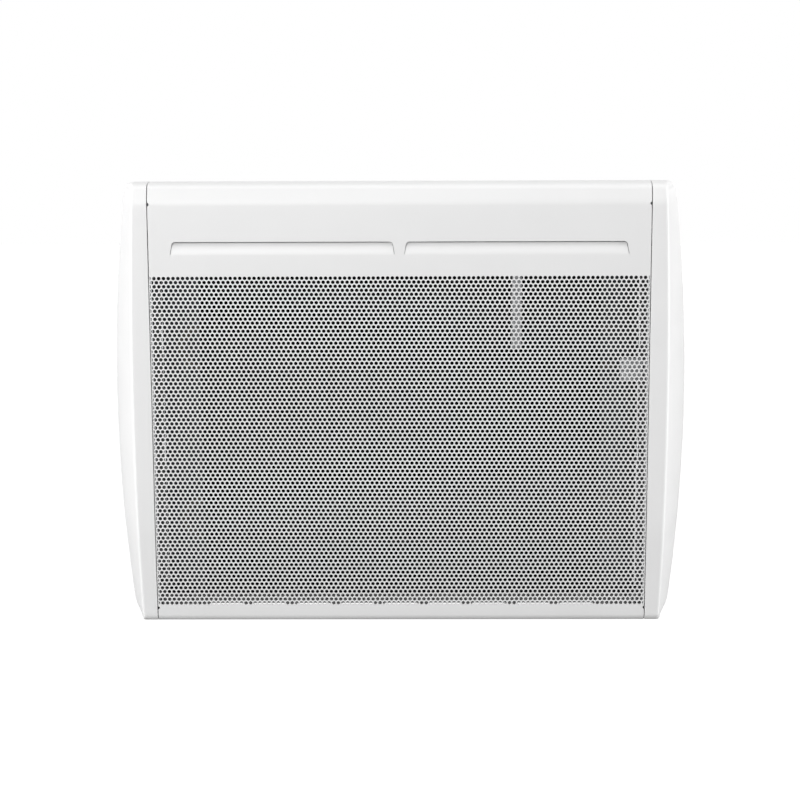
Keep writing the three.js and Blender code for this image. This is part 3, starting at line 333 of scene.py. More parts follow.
class ShellDraft(MeshDraft):
    """A sheet of metal as outer corners, each with its inner partner."""

    def __init__(self) -> None:
        """Starts an empty sheet."""
        super().__init__()
        self.inner: list[Vector] = []

    def pair(self, outer: Vector, inner: Vector) -> int:
        """The number of a corner pair, new or known by its outer place.

        Args:
            outer: Place of the outer corner.
            inner: Place of its partner.

        Returns:
            The number of both.
        """
        number = self.corner(outer)
        if number == len(self.inner):
            self.inner.append(inner)
        return number

    def build(self, name: str, smooth_angle: float = 35.0) -> Piece:
        """Closes the sheet with its inner side and its cut edges.

        Args:
            name: Name of the piece.
            smooth_angle: Edges sharper than this many degrees stay crisp.

        Returns:
            The new object.
        """
        draft = MeshDraft()
        outer = [draft.corner(place) for place in self.corners]
        inner = [draft.corner(place) for place in self.inner]
        sides: dict[tuple[int, int], None] = {}
        for ring in self.faces:
            draft.face(outer[number] for number in ring)
            draft.face(inner[number] for number in reversed(ring))
            sides.update(dict.fromkeys(zip(ring, ring[1:] + ring[:1])))
        for here, there in sides:
            if (there, here) not in sides:
                draft.face((outer[there], outer[here], inner[here], inner[there]))
        return draft.build(name, smooth_angle)


# ---- Finishes ----


Value = float | Sequence[float] | Socket


def feed(tree: Tree, node: bpy.types.Node, inputs: dict[str | int, Value]) -> None:
    """Joins sockets to a node's inputs, or sets them to values.

    Args:
        tree: The node's tree.
        node: The node.
        inputs: A socket or a value for each input, by name or number.
    """
    for name, value in inputs.items():
        if isinstance(value, Socket):
            tree.links.new(value, node.inputs[name])
        else:
            node.inputs[name].default_value = value


def add_node(tree: Tree, kind: str, inputs: dict[str | int, Value],
             **settings: object) -> bpy.types.Node:
    """Adds a shader node.

    Args:
        tree: Where it goes.
        kind: Its type, without the words that every shader node's type starts with.
        inputs: A socket or a value for each input, by name or number.
        settings: Its properties, set before the inputs.

    Returns:
        The new node.
    """
    node = tree.nodes.new(f"ShaderNode{kind}")
    for name, value in settings.items():
        setattr(node, name, value)
    feed(tree, node, inputs)
    return node


class Effect:
    """A shader effect that finishes share: a node group that gives a height and a shade."""

    def __init__(self, name: str, scale: float) -> None:
        """Starts the group.

        Args:
            name: Name of the group.
            scale: Its usual scale.
        """
        self.tree = bpy.data.node_groups.new(name, "ShaderNodeTree")
        self.entry = self.tree.nodes.new("NodeGroupInput")
        self.exit = self.tree.nodes.new("NodeGroupOutput")
        face = self.tree.interface
        face.new_socket(name="Vector", in_out="INPUT", socket_type="NodeSocketVector")
        size = face.new_socket(name="Scale", in_out="INPUT", socket_type="NodeSocketFloat")
        size.default_value = scale
        for output in ("Height", "Shade"):
            face.new_socket(name=output, in_out="OUTPUT", socket_type="NodeSocketFloat")

    def node(self, kind: str, inputs: dict[str | int, Value], **settings: object) -> bpy.types.Node:
        """Adds a node to the group."""
        return add_node(self.tree, kind, inputs, **settings)

    def math(self, operation: str, *values: Value) -> Socket:
        """The result of an operation on values and sockets."""
        return self.node("Math", dict(enumerate(values)), operation=operation).outputs[0]

    def place(self, *stretch: float) -> Socket:
        """The group's vector, scaled by its scale and stretched along each axis.

        Args:
            stretch: Factors for the three axes.

        Returns:
            The socket with the vector.
        """
        given = self.entry.outputs
        grown = self.node("VectorMath", {0: given["Vector"], "Scale": given["Scale"]},
                          operation="SCALE").outputs[0]
        return self.node("VectorMath", {0: grown, 1: stretch}, operation="MULTIPLY").outputs[0]

    def noise(self, place: Socket, scale: float, detail: float = 2.0) -> Socket:
        """A noise over a place."""
        values = {"Scale": scale, "Detail": detail, "Vector": place}
        return self.node("TexNoise", values).outputs["Fac"]

    def blend(self, first: Socket, second: Socket, share: float) -> Socket:
        """A share of one value and the rest of another."""
        return self.math("ADD", self.math("MULTIPLY", first, share),
                         self.math("MULTIPLY", second, 1 - share))

    def close(self, height: Socket, shade: Socket) -> Tree:
        """Gives the group's height and shade, and returns its tree."""
        feed(self.tree, self.exit, {"Height": height, "Shade": shade})
        return self.tree


def grain_effect() -> Tree:
    """Fine moulded or sprayed grain, with a slow shade over it."""
    effect = Effect("fine_grain", 900.0)
    place = effect.place(1, 1, 1)
    return effect.close(effect.noise(place, 1.0, 3.0), effect.noise(place, 0.012))


def brush_effect() -> Tree:
    """Fine lines along X from rolling or brushing, with blotches between them."""
    effect = Effect("rolled_lines", 700.0)
    lines = effect.noise(effect.place(0.02, 1, 1), 1.0)
    blotch = effect.noise(effect.place(0.3, 1, 1), 0.06)
    return effect.close(lines, effect.blend(lines, blotch, 0.4))


def spangle_effect() -> Tree:
    """Crystals of a zinc coat: each with its own shade, and a low ridge between them."""
    effect = Effect("zinc_spangle", 260.0)
    place = effect.place(1, 1, 1)
    cells = effect.node("TexVoronoi", {"Scale": 1.0, "Vector": place}, feature="F1").outputs
    parts = effect.node("SeparateColor", {0: cells["Color"]})
    return effect.close(cells["Distance"],
                        effect.blend(parts.outputs[0], effect.noise(place, 4.0), 0.7))


def braid_effect() -> Tree:
    """Crossed threads of a sleeve."""
    effect = Effect("braided_threads", 1400.0)
    waves = [effect.node("TexWave", {"Scale": 0.3, "Vector": effect.place(1, 0.4, way)},
                         bands_direction="DIAGONAL").outputs["Fac"] for way in (1, -1)]
    return effect.close(effect.math("MAXIMUM", *waves), effect.math("MULTIPLY", *waves))


class Texture(Enum):
    """The shared effect that a finish is built on."""

    GRAIN = "grain"
    BRUSH = "brush"
    SPANGLE = "spangle"
    BRAID = "braid"


EFFECTS: dict[Texture, Callable[[], Tree]] = {
    Texture.GRAIN: grain_effect,
    Texture.BRUSH: brush_effect,
    Texture.SPANGLE: spangle_effect,
    Texture.BRAID: braid_effect,
}


@dataclass(frozen=True)
class Finish:
    """A finish: its colours, its roughness and the effect that breaks both up."""

    name: str
    slot: str
    dark: Colour
    light: Colour
    roughness: Pair
    texture: Texture = Texture.GRAIN
    scale: float = 900.0
    bump: float = 0.05
    bump_height: float = 0.02
    metallic: float = 0.0
    transmission: float = 0.0
    sheen: float = 0.0


class Finishes:
    """Makes each finish's material once, and gives it to pieces."""

    def __init__(self) -> None:
        """Starts with no materials and no effects."""
        self._effects: dict[Texture, Tree] = {}
        self._materials: dict[str, bpy.types.Material] = {}

    def effect(self, texture: Texture) -> Tree:
        """The node group of a shared effect."""
        if texture not in self._effects:
            self._effects[texture] = EFFECTS[texture]()
        return self._effects[texture]

    def material(self, finish: Finish) -> bpy.types.Material:
        """The material of a finish.

        Args:
            finish: The finish.

        Returns:
            Its material, new or known.
        """
        if finish.name in self._materials:
            return self._materials[finish.name]
        made = bpy.data.materials.new(finish.name)
        made.use_nodes = True
        tree = made.node_tree
        place = add_node(tree, "TexCoord", {}).outputs["Object"]
        pattern = add_node(tree, "Group", {"Scale": finish.scale, "Vector": place},
                           node_tree=self.effect(finish.texture)).outputs
        colour = add_node(tree, "Mix", {"A": finish.dark, "B": finish.light,
                                        "Factor": pattern["Shade"]}, data_type="RGBA")
        least, most = finish.roughness
        rough = add_node(tree, "MapRange", {"To Min": least, "To Max": most,
                                            "Value": pattern["Shade"]})
        bump = add_node(tree, "Bump", {"Strength": finish.bump, "Distance": finish.bump_height * MM,
                                       "Height": pattern["Height"]})
        feed(tree, tree.nodes["Principled BSDF"],
             {"Base Color": colour.outputs["Result"], "Roughness": rough.outputs["Result"],
              "Normal": bump.outputs["Normal"], "Metallic": finish.metallic,
              "Transmission Weight": finish.transmission, "Sheen Weight": finish.sheen})
        self._materials[finish.name] = made
        return made

    def dress(self, piece: Piece, finish: Finish) -> Piece:
        """Gives a piece its material.

        Args:
            piece: The piece.
            finish: Its finish.

        Returns:
            The piece.
        """
        piece.data.materials.clear()
        piece.data.materials.append(self.material(finish))
        return piece


POWDER_COAT = Finish("powder_coat", "white_steel", grey(0.812), grey(0.842),
                     (0.34, 0.42), scale=1600.0, bump=0.25)
WHITE_MOULDING = Finish("white_moulding", "white_plastic", grey(0.832),
                        grey(0.862), (0.36, 0.46), scale=2600.0, bump=0.2, bump_height=0.015)
ZINC = Finish("zinc_plate", "zinc_steel", tone(0.36, 0.37, 0.39), tone(0.58, 0.59, 0.60),
              (0.32, 0.52), Texture.SPANGLE, 420.0, 0.15, metallic=0.9)
BRIGHT = Finish("bright_plate", "bright_steel", tone(0.55, 0.56, 0.57), tone(0.72, 0.73, 0.74),
                (0.22, 0.36), Texture.BRUSH, 900.0, 0.1, 0.01, metallic=1.0)
ALUMINISED = Finish("aluminised_sheet", "aluminised_steel", tone(0.55, 0.56, 0.58),
                    tone(0.72, 0.73, 0.75), (0.26, 0.42), Texture.BRUSH, 500.0, 0.15, metallic=1.0)
BLUED = Finish("blued_sheet", "blued_steel", tone(0.020, 0.022, 0.028), tone(0.035, 0.036, 0.042),
               (0.45, 0.62), Texture.BRUSH, 500.0, 0.2, metallic=0.6)
EMITTER = Finish("dark_anodised", "dark_aluminium", tone(0.006, 0.006, 0.007),
                 tone(0.011, 0.011, 0.012), (0.5, 0.66), scale=1500.0, bump=0.3, metallic=1.0)
ELEMENT = Finish("element_sheath", "element_steel", tone(0.05, 0.045, 0.04),
                 tone(0.09, 0.08, 0.07), (0.4, 0.6), scale=1800.0, bump=0.2, metallic=0.8)
GREY_MOULDING = Finish("grey_moulding", "grey_plastic", tone(0.24, 0.25, 0.26),
                       tone(0.28, 0.29, 0.30), (0.42, 0.55), scale=3000.0, bump=0.3)
BLACK_MOULDING = Finish("black_moulding", "black_plastic", tone(0.012, 0.012, 0.013),
                        tone(0.02, 0.02, 0.021), (0.4, 0.55), scale=3000.0, bump=0.3)
RUBBER = Finish("black_rubber", "black_rubber", grey(0.010),
                grey(0.018), (0.75, 0.9), scale=2200.0, bump=0.4, bump_height=0.04, sheen=0.15)
SLEEVE = Finish("braided_sleeve", "lead_sleeve", grey(0.008),
                tone(0.022, 0.022, 0.023), (0.6, 0.8), Texture.BRAID, 1400.0, 0.6, 0.1)
LAMINATE = Finish("green_laminate", "board_laminate", tone(0.010, 0.06, 0.022),
                  tone(0.016, 0.085, 0.03), (0.3, 0.45), Texture.BRUSH, 400.0, 0.2)
AMBER = Finish("amber_lens", "amber_lens", tone(0.80, 0.30, 0.04), tone(0.88, 0.36, 0.05),
               (0.06, 0.12), scale=400.0, bump=0.02, transmission=0.7)
DARK_INK = Finish("dark_ink", "grey_plastic", tone(0.03, 0.03, 0.032), tone(0.05, 0.05, 0.052),
                  (0.5, 0.6), scale=2000.0, bump=0.1)
PALE_INK = Finish("pale_ink", "white_plastic", grey(0.70), grey(0.75),
                  (0.5, 0.6), scale=2000.0, bump=0.1)


@dataclass
class SubAssembly:
    """A part of the heater that makes and dresses its own pieces."""

    finishes: Finishes

    def present(self, piece: Piece, finish: Finish, *nodes: str, body: str = "heater") -> Piece:
        """Dresses a piece, puts it on its body and lets it stand for CAD nodes.

        Args:
            piece: The piece.
            finish: Its finish.
            nodes: CAD nodes that it takes the place of.
            body: The body it moves with.

        Returns:
            The piece.
        """
        self.finishes.dress(piece, finish)
        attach(piece, body)
        if nodes:
            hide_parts(*nodes)
        log.info("%s: %d faces", piece.name, len(piece.data.polygons))
        return piece


# ---- Front sheet ----


@dataclass
class Louvre:
    """One air outlet: a tongue of metal, cut free at its top and ends and pressed inwards."""

    side: int
    inner: float = 7.0
    outer: float = 225.9
    slit: float = 168.0
    height: float = 14.0
    press: float = 4.0
    flare: float = 2.5
    corner: float = 3.0
    fade: float = 1.8
    gap: float = 1.15
    end_gap: float = 0.5
    end_cut: float = 0.92
    lean_reach: float = 5.0

    def _spread(self, below: float) -> float:
        """How far outside its place at the slit each end stands, less its corner's rounding."""
        off = max(0.0, self.corner - below)
        return self.flare * below / self.height - self.corner + math.sqrt(self.corner**2 - off**2)

    def _inside(self, x: float, below: float) -> float:
        """Distance from the nearer end, positive on the tongue."""
        across = x * self.side
        return min(across - self.inner, self.outer - across) + self._spread(below)

    def lean(self, x: float, z: float) -> float:
        """How far a corner of the sheet moves across, so that rows of corners follow the ends.

        Args:
            x: Place across the heater.
            z: Height on the sheet.

        Returns:
            The move, positive to the right.
        """
        below = self.slit - z
        spread = self._spread(min(max(below, 0.0), self.height))
        spread *= max(0.0, 1 - max(-below, below - self.height, 0.0) / self.height)
        across = x * self.side
        for end, way in ((self.inner, -1), (self.outer, 1)):
            off = max(0.0, abs(across - end) - 1) / self.lean_reach
            if off < 1:
                return self.side * way * spread * (1 - off)
        return 0.0

    def open_at(self, x: float, z: float) -> bool:
        """Whether the slit or one of the cuts at its ends is open at a place.

        Args:
            x: Place across the heater.
            z: Height on the sheet.

        Returns:
            Whether it is open.
        """
        below = self.slit - z
        if not 0 <= below < self.height * self.end_cut:
            return False
        inside = self._inside(x, below)
        return inside > 0 and (below < self.gap or inside < self.end_gap)

    def dent(self, x: float, z: float) -> float:
        """How far the metal is pressed inwards at a place.

        Args:
            x: Place across the heater.
            z: Height on the sheet.

        Returns:
            The press in millimetres, or zero outside the louvre.
        """
        below = self.slit - z
        if not 0 <= below < self.height:
            return 0.0
        climb = min(1.0, max(0.0, self._inside(x, below) / self.end_gap))
        return self.press * (1 - below / self.height) ** self.fade * climb


class FlatDraft(ShellDraft):
    """Metal on the flat of the sheet, with corners known by their place on it."""

    def __init__(self, line: SheetLine, steel: float) -> None:
        """Starts an empty draft.

        Args:
            line: The sheet seen from the side.
            steel: Its thickness.
        """
        super().__init__()
        self._line, self._steel = line, steel
        self._places: dict[Pair, int] = {}

    def at(self, place: Pair) -> int:
        """The number of the corner pair at a place across and along the metal.

        Args:
            place: Place across, and length along the metal.

        Returns:
            The number of the pair.
        """
        key = (round(place[0], 5), round(place[1], 5))
        if key not in self._places:
            inner = self._line.place(*place, self._steel)
            self._places[key] = self.pair(self._line.place(*place), inner)
        return self._places[key]

    def fill(self, *loops: list[Pair]) -> None:
        """Covers the area between loops with triangles.

        Args:
            loops: The outline, and the hole where there is one.
        """
        flat = [place for loop in loops for place in loop]
        shapes = [[Vector((x, -length, 0)) for x, length in loop] for loop in loops]
        for triangle in tessellate_polygon(shapes):
            a, b, c = (flat[number] for number in triangle)
            turn = (b[0] - a[0]) * (c[1] - a[1]) - (b[1] - a[1]) * (c[0] - a[0])
            if abs(turn) > 1e-9:
                self.face(self.at(place) for place in ((a, b, c) if turn < 0 else (a, c, b)))


@dataclass
class FrontSheet(SubAssembly):
    """The bent front sheet: plain skin with louvres, and the punched field in bands."""

    case: CaseSize
    pitch: float = 4.75
    hole_radius: float = 1.86
    hole_sides: int = 12
    rows: int = 83
    bands: int = 3
    first_row: float = 131.55
    border: float = 4.0
    edge_radius: float = 0.5
    flange: float = 11.0
    notch_radius: float = 1.6
    notch_top: float = 205.5
    notch_bottom: float = -210.9
    louvres: tuple[Louvre, ...] = (Louvre(-1), Louvre(1))
    half_row: int = 53
    end_zone: float = 6.0
    end_step: float = 0.5
    tongue_columns: int = 14
    rim_columns: Pair = (238.0, 244.0)
    rim_start: float = 240.0
    louvre_rows: int = 24
    louvre_crowding: float = 1.2
    notch_rows: int = 8
    field_rows: int = 22
    bend_steps: int = 4
    flange_start: float = 4.0

    def __post_init__(self) -> None:
        """Lays the rows of holes out along the metal."""
        self.line = SheetLine(self.case)
        self.corner_radius = self.pitch / math.sqrt(3)
        self.row_step = 1.5 * self.corner_radius
        self.first = self.line.length_at(self.first_row)
        self.field_start = self.first - self.border
        self.field_stop = self.first + (self.rows - 1) * self.row_step + self.border
        self.flat_half = self.case.seam_half_width - self.edge_radius

    def build(self) -> None:
        """Makes and dresses the skin and the bands."""
        self.present(self._skin(), POWDER_COAT, "front_sheet")
        cuts = [round(self.rows * band / self.bands) for band in range(self.bands + 1)]
        for band, (low, high) in enumerate(zip(cuts, cuts[1:]), 1):
            piece = self._band(f"front_sheet_band_{band}", low, high)
            self.present(piece, POWDER_COAT)

    def _edge_at(self, height: float) -> float:
        """Half width of the plain sheet at a height, less at the relief notches."""
        for centre in (self.notch_top, self.notch_bottom):
            off = abs(height - centre)
            if off < self.notch_radius:
                return self.case.seam_half_width - math.sqrt(self.notch_radius**2 - off**2)
        return self.case.seam_half_width

    def _flanged(self, height: float) -> bool:
        """Whether the side flange is there at a height."""
        radius = self.notch_radius - TINY
        return self.notch_bottom + radius <= height <= self.notch_top - radius

    def _columns(self) -> list[float]:
        """Places across the flat of the skin, close together at the louvres' ends."""
        louvre, zone, limit = self.louvres[-1], self.end_zone, self.flat_half
        reach = zone + louvre.flare + 1
        half = {0.0, limit, *self.rim_columns}
        for end in (louvre.inner, louvre.outer):
            fine = np.arange(end - zone, end + zone + 0.01, self.end_step)
            half.update(value for value in fine.tolist() if 0 < value < limit)
        half.update(np.linspace(louvre.inner + reach, louvre.outer - reach,
                                self.tongue_columns).tolist())
        return sorted({-value for value in half} | half)

    def _row_lengths(self) -> list[float]:
        """Lengths along the metal at which the skin has a row of corners."""
        louvre = self.louvres[0]
        heights = [louvre.slit - louvre.gap]
        heights += [louvre.slit - louvre.height * (step / self.louvre_rows) ** self.louvre_crowding
                    for step in range(self.louvre_rows + 1)]
        heights += [centre + self.notch_radius * math.cos(math.pi * step / self.notch_rows)
                    for centre in (self.notch_top, self.notch_bottom)
                    for step in range(self.notch_rows + 1)]
        rows = {self.line.length_at(height) for height in heights}
        rows.update(self.line.lengths.tolist())
        rows.update(np.linspace(self.field_start, self.field_stop, self.field_rows).tolist())
        return thinned(rows, 1e-4)

    def _height(self, length: float) -> float:
        """Height of the sheet at a length along the metal."""
        return float(np.interp(length, self.line.lengths, self.line.points[:, 1]))

    def _skin(self) -> Piece:
        """The plain parts of the sheet, its louvres and its side flanges."""
        shell = ShellDraft()
        slit, front = self.line.length_at(self.louvres[0].slit), self.line.length_at(0.0)
        lengths = self._row_lengths()
        for low, high in zip(lengths, lengths[1:]):
            middle = (low + high) / 2
            in_field = self.field_start < middle < self.field_stop
            if not in_field:
                self._flat_row(shell, low, high, low >= slit - 1e-5 and high <= front)
            flanged = self._flanged(self._height(middle)) and middle > slit / 3
            for side in (-1, 1):
                if flanged:
                    rings = [[shell.pair(self.line.place(x, length, back),
                                         self.line.place(inner_x, length, inner_back))
                              for x, back, inner_x, inner_back in self._flange_path(side)]
                             for length in (low, high)]
                elif not in_field:
                    rings = [[self._flat_corner(shell, side * reach, length, False)
                              for reach in (self.flat_half, self.case.seam_half_width)]
                             for length in (low, high)]
                else:
                    continue
                for a, b, c, d in zip(rings[0], rings[0][1:], rings[1][1:], rings[1]):
                    shell.face((a, d, c, b) if side > 0 else (a, b, c, d))
        return shell.build("front_sheet_skin", 30.0)

    def _lean(self, x: float, height: float) -> float:
        """A place across, moved so that the rows follow the ends of the louvres."""
        return x + sum(louvre.lean(x, height) for louvre in self.louvres)

    def _flat_corner(self, shell: ShellDraft, x: float, length: float, pressed: bool) -> int:
        """A corner pair on the flat of the sheet.

        Args:
            shell: Where it goes.
            x: Place across, before it leans with the louvres.
            length: Length along the metal.
            pressed: Whether the louvres press it inwards.

        Returns:
            The number of the pair.
        """
        height = self._height(length)
        flanged = self._flanged(height)
        x = self._lean(x, height)
        if abs(x) > self.rim_start and not flanged:
            x = math.copysign(min(abs(x), self._edge_at(height)), x)
        dent = sum(louvre.dent(x, height) for louvre in self.louvres) if pressed else 0.0
        inner_x = x
        if flanged and abs(x) > self.flat_half - TINY:
            inner_x = math.copysign(self.case.seam_half_width - self.case.steel, x)
        return shell.pair(self.line.place(x, length, dent),
                          self.line.place(inner_x, length, dent + self.case.steel))

    def _flat_row(self, shell: ShellDraft, low: float, high: float, pressed: bool) -> None:
        """A row of faces across the flat, left open at the slits.

        Args:
            shell: Where they go.
            low: Length along the metal at which the row starts.
            high: Length at which it ends.
            pressed: Whether the louvres press it inwards.
        """
        columns = self._columns()
        height = self._height((low + high) / 2)
        for left, right in zip(columns, columns[1:]):
            centre = self._lean((left + right) / 2, height)
            if not (pressed and any(louvre.open_at(centre, height) for louvre in self.louvres)):
                shell.face(self._flat_corner(shell, x, length, pressed) for x, length in
                           ((left, low), (left, high), (right, high), (right, low)))

    def _flange_path(self, side: int) -> list[tuple[float, float, float, float]]:
        """Round the side bend: outer place and set-back, then inner place and set-back.

        Args:
            side: 1 for the right side, otherwise -1.

        Returns:
            The four measures of each point, from the front to the rear.
        """
        seam, steel, radius = self.case.seam_half_width, self.case.steel, self.edge_radius
        path = []
        for step in range(self.bend_steps + 1):
            angle = math.pi / 2 * step / self.bend_steps
            across, back = radius * math.sin(angle) - radius, radius - radius * math.cos(angle)
            path.append((side * (seam + across), back, side * (seam - steel), steel))
        for back in (self.flange_start, self.flange):
            path.append((side * seam, back, side * (seam - steel), back))
        return path

    def _band(self, name: str, low: int, high: int) -> Piece:
        """One band of the punched field.

        Args:
            name: Name of the piece.
            low: First row of holes.
            high: Row after the last one.

        Returns:
            The band, closed all round.
        """
        draft = FlatDraft(self.line, self.case.steel)
        for row in range(low, high):
            shifted = row % 2 == 0
            for column in range(-self.half_row + (not shifted), self.half_row):
                self._cell(draft, (column + shifted / 2) * self.pitch, self._row(row))
        if low == 0:
            self._border(draft, 0, -1, self.field_start)
        if high == self.rows:
            self._border(draft, self.rows - 1, 1, self.field_stop)
        return draft.build(name, 40.0)

    def _row(self, row: int) -> float:
        """Length along the metal at which a row of holes is centred."""
        return self.first + row * self.row_step

    def _cell(self, draft: FlatDraft, x: float, length: float) -> None:
        """One hexagon of metal with a round hole, cut off at the side bends.

        Args:
            draft: Where it goes.
            x: Place of the hole across the heater.
            length: Place of the hole along the metal.
        """
        limit, sides = self.flat_half, self.hole_sides
        outline, hole = (
            [(x + radius * math.sin(math.tau / count * turn),
              length - radius * math.cos(math.tau / count * turn)) for turn in range(count)]
            for radius, count in ((self.corner_radius, 6), (self.hole_radius, sides)))
        if abs(x) + self.pitch / 2 <= limit + TINY:
            ring, eye = ([draft.at(place) for place in loop] for loop in (outline, hole))
            share = sides // 6
            for turn in range(6):
                arc = [eye[(turn * share + step) % sides] for step in range(share + 1)]
                draft.face((ring[turn], *arc, ring[(turn + 1) % 6]))
            return
        side = 1 if x > 0 else -1
        kept = clip(outline, side, limit)
        if all(side * place[0] <= limit for place in hole):
            draft.fill(kept, hole[::-1])
            return

        def parted(loop: list[Pair]) -> tuple[list[Pair], list[Pair]]:
            """Corners on the limit and corners short of it, both in order of length.

            Args:
                loop: Corners of an outline.

            Returns:
                The two lists.
            """
            ordered = sorted(loop, key=lambda place: place[1])
            on = [place for place in ordered if abs(side * place[0] - limit) < TINY]
            return on, [place for place in ordered if place not in on]

        (rim, ring), (edge, arc) = parted(kept), parted(clip(hole, side, limit))
        if len(edge) > 1 and rim:
            draft.fill([rim[0], *ring, rim[-1], edge[-1], *reversed(arc), edge[0]])

    def _border(self, draft: FlatDraft, row: int, way: int, line: float) -> None:
        """Plain metal between an outermost row's hexagons and a straight line.

        Args:
            draft: Where it goes.
            row: The row of holes.
            way: 1 where the line is below the row, otherwise -1.
            line: Length along the metal at which the line is.
        """
        half, limit = self.pitch / 2, self.flat_half
        peak = self._row(row) + way * self.corner_radius
        valley = self._row(row) + way * self.corner_radius / 2
        count = int(limit / half)
        places = [(index * half, peak if (index + row) % 2 else valley)
                  for index in range(-count, count + 1)]
        end, here = places[-1]
        if limit - end > TINY:
            value = here + (peak + valley - 2 * here) * (limit - end) / half
            places = [(-limit, value), *places, (limit, value)]
        for (left, a), (right, b) in zip(places, places[1:]):
            ring = [draft.at(place) for place in ((left, a), (left, line), (right, line), (right, b))]
            draft.face(ring if way > 0 else ring[::-1])


def clip(outline: list[Pair], side: int, limit: float) -> list[Pair]:
    """The part of a convex outline that lies within a limit on one side.

    Args:
        outline: Corners in order.
        side: Which way the limit lies, 1 or -1.
        limit: Furthest place across.

    Returns:
        Corners of what is left.
    """
    kept: list[Pair] = []
    for here, there in zip(outline, outline[1:] + outline[:1]):
        inside, next_inside = side * here[0] <= limit, side * there[0] <= limit
        if inside:
            kept.append(here)
        if inside != next_inside:
            share = (side * limit - here[0]) / (there[0] - here[0])
            kept.append((side * limit, here[1] + share * (there[1] - here[1])))
    return kept


# ---- Cheeks ----


@dataclass
class Cheek(SubAssembly):
    """A moulded end cheek: flat front strip, soft edge, flaring flank and tucked rear rim."""

    case: CaseSize
    side: int
    reach: float = 42.3
    bow_radius: float = 1800.0
    strip: float = 19.8
    strip_bow_radius: float = 5500.0
    edge_radius: float = 3.0
    rim_depth: float = 46.0
    tuck: float = 6.0
    corner: float = 14.0
    wall: float = 2.5
    cap_drop: float = 0.25
    seam_gap: float = 0.8
    seam_round: float = 0.5
    flank_bend: float = 0.3
    rim_bend: float = 0.3
    rim_least: float = 0.35
    cuts: int = 72
    edge_cuts: int = 22
    edge_zone: float = 1.6
    strip_shares: Pair = (0.33, 0.66)

    @property
    def name(self) -> str:
        """Which cheek this is."""
        return "left_cheek" if self.side < 0 else "right_cheek"

    def build(self) -> None:
        """Makes the shell and dresses it."""
        self.present(self._shell(), WHITE_MOULDING, self.name)

    def _reach_at(self, profile: np.ndarray, height: float) -> Pair:
        """Least and greatest depth of a closed profile at a height.

        Args:
            profile: The closed profile.
            height: The height.

        Returns:
            The two depths.
        """
        ends = np.vstack((profile, profile[:1]))
        depths = []
        for (a, b), (c, d) in zip(ends, ends[1:]):
            if b != d and (height - b) * (height - d) <= 0:
                depths.append(a + (c - a) * (height - b) / (d - b))
        return min(depths), max(depths)

    def _section(self, profile: np.ndarray, height: float, wall: float) -> list[Pair]:
        """A level cut through the cheek.

        Args:
            profile: The case profile that the cheek follows.
            height: Height of the cut.
            wall: How far inside the outer face the cut is.

        Returns:
            Points of x and depth from the front of the seam round to its rear.
        """
        rear, front = self._reach_at(profile, height)
        seam = self.case.seam_half_width
        half = self.case.half_height
        corner = self.corner - wall
        into = max(0.0, abs(height) - (half - self.corner))
        loss = corner - math.sqrt(max(0.0, corner**2 - min(into, corner) ** 2))
        outer = seam + self.reach - height**2 / (2 * self.bow_radius) - wall - loss
        edge = seam + self.strip - height**2 / (2 * self.strip_bow_radius)
        edge = min(edge, outer) - wall / 2
        rim = max(self.rim_depth, rear + self.rim_least * (front - rear))
        bend = (outer, rim + self.flank_bend * (front - rim))
        away = Vector((bend[0] - edge, bend[1] - front))
        radius = min(self.edge_radius, away.length / 2)
        away = away.normalized() * radius if radius else away
        flank = (edge + away.x, front + away.y)
        inner = seam + self.seam_gap
        turn = min(self.seam_round, (front - rear) / 4) if not wall else 0.0
        points = [(inner, front - turn)]
        if turn:
            points += curve((inner, front - turn), (inner, front), (inner + turn, front), 4)[1:]
        points += [(inner + (edge - radius - inner) * share, front) for share in self.strip_shares]
        points += curve((edge - radius, front), (edge, front), flank, 8)
        points += curve(flank, bend, (outer, rim), 18)[1:]
        points += curve((outer, rim), (outer, rear + self.rim_bend * (rim - rear)),
                        (outer - self.tuck, rear), 8)[1:]
        points += [(inner, rear)]
        return points

    def _levels(self, limit: float) -> list[float]:
        """Heights of the cuts up to a limit, close together at the top and bottom edges.

        Args:
            limit: Height of the outermost cuts.

        Returns:
            The heights in order.
        """
        levels = set(np.linspace(-limit, limit, self.cuts).tolist())
        for turn in np.linspace(0, math.pi / 2, self.edge_cuts):
            near = self.corner * self.edge_zone * (1 - math.cos(turn))
            levels.update((limit - near, near - limit))
        return thinned(levels, 0.01)

    def _shell(self) -> Piece:
        """The hollow shell, open only towards the case."""
        profile = np.array(SheetLine(self.case).closed())
        draft = MeshDraft()
        rims = []
        for wall in (0.0, self.wall):
            levels = self._levels(self.case.half_height - self.cap_drop - wall)
            rings = self._skin(draft, set_off(profile, wall, closed=True), levels, wall)
            rims.append([ring[0] for ring in rings] + [ring[-1] for ring in rings][::-1])
        shapes = [[Vector((draft.corners[number][1], draft.corners[number][2], 0)) for number in rim]
                  for rim in rims]
        numbers = rims[0] + rims[1]
        for triangle in tessellate_polygon(shapes):
            draft.face(numbers[index] for index in triangle)
        return draft.build(f"{self.name}_shell", 32.0)

    def _skin(self, draft: MeshDraft, profile: np.ndarray, levels: list[float],
              wall: float) -> list[list[int]]:
        """Lofts one skin of the shell.

        Args:
            draft: Where the corners and faces go.
            profile: The case profile that the skin follows.
            levels: Heights of the cuts.
            wall: How far inside the outer face the skin is.

        Returns:
            The corner numbers of each cut.
        """
        rings = []
        for height in levels:
            section = self._section(profile, height, wall)
            rings.append([draft.corner(spot(self.side * x, depth, height)) for x, depth in section])
        for low, high in zip(rings, rings[1:]):
            for a, b, c, d in zip(low, low[1:], high[1:], high):
                draft.face((a, b, c, d))
        for ring in (rings[0], rings[-1]):
            draft.face(dict.fromkeys(ring))
        return rings


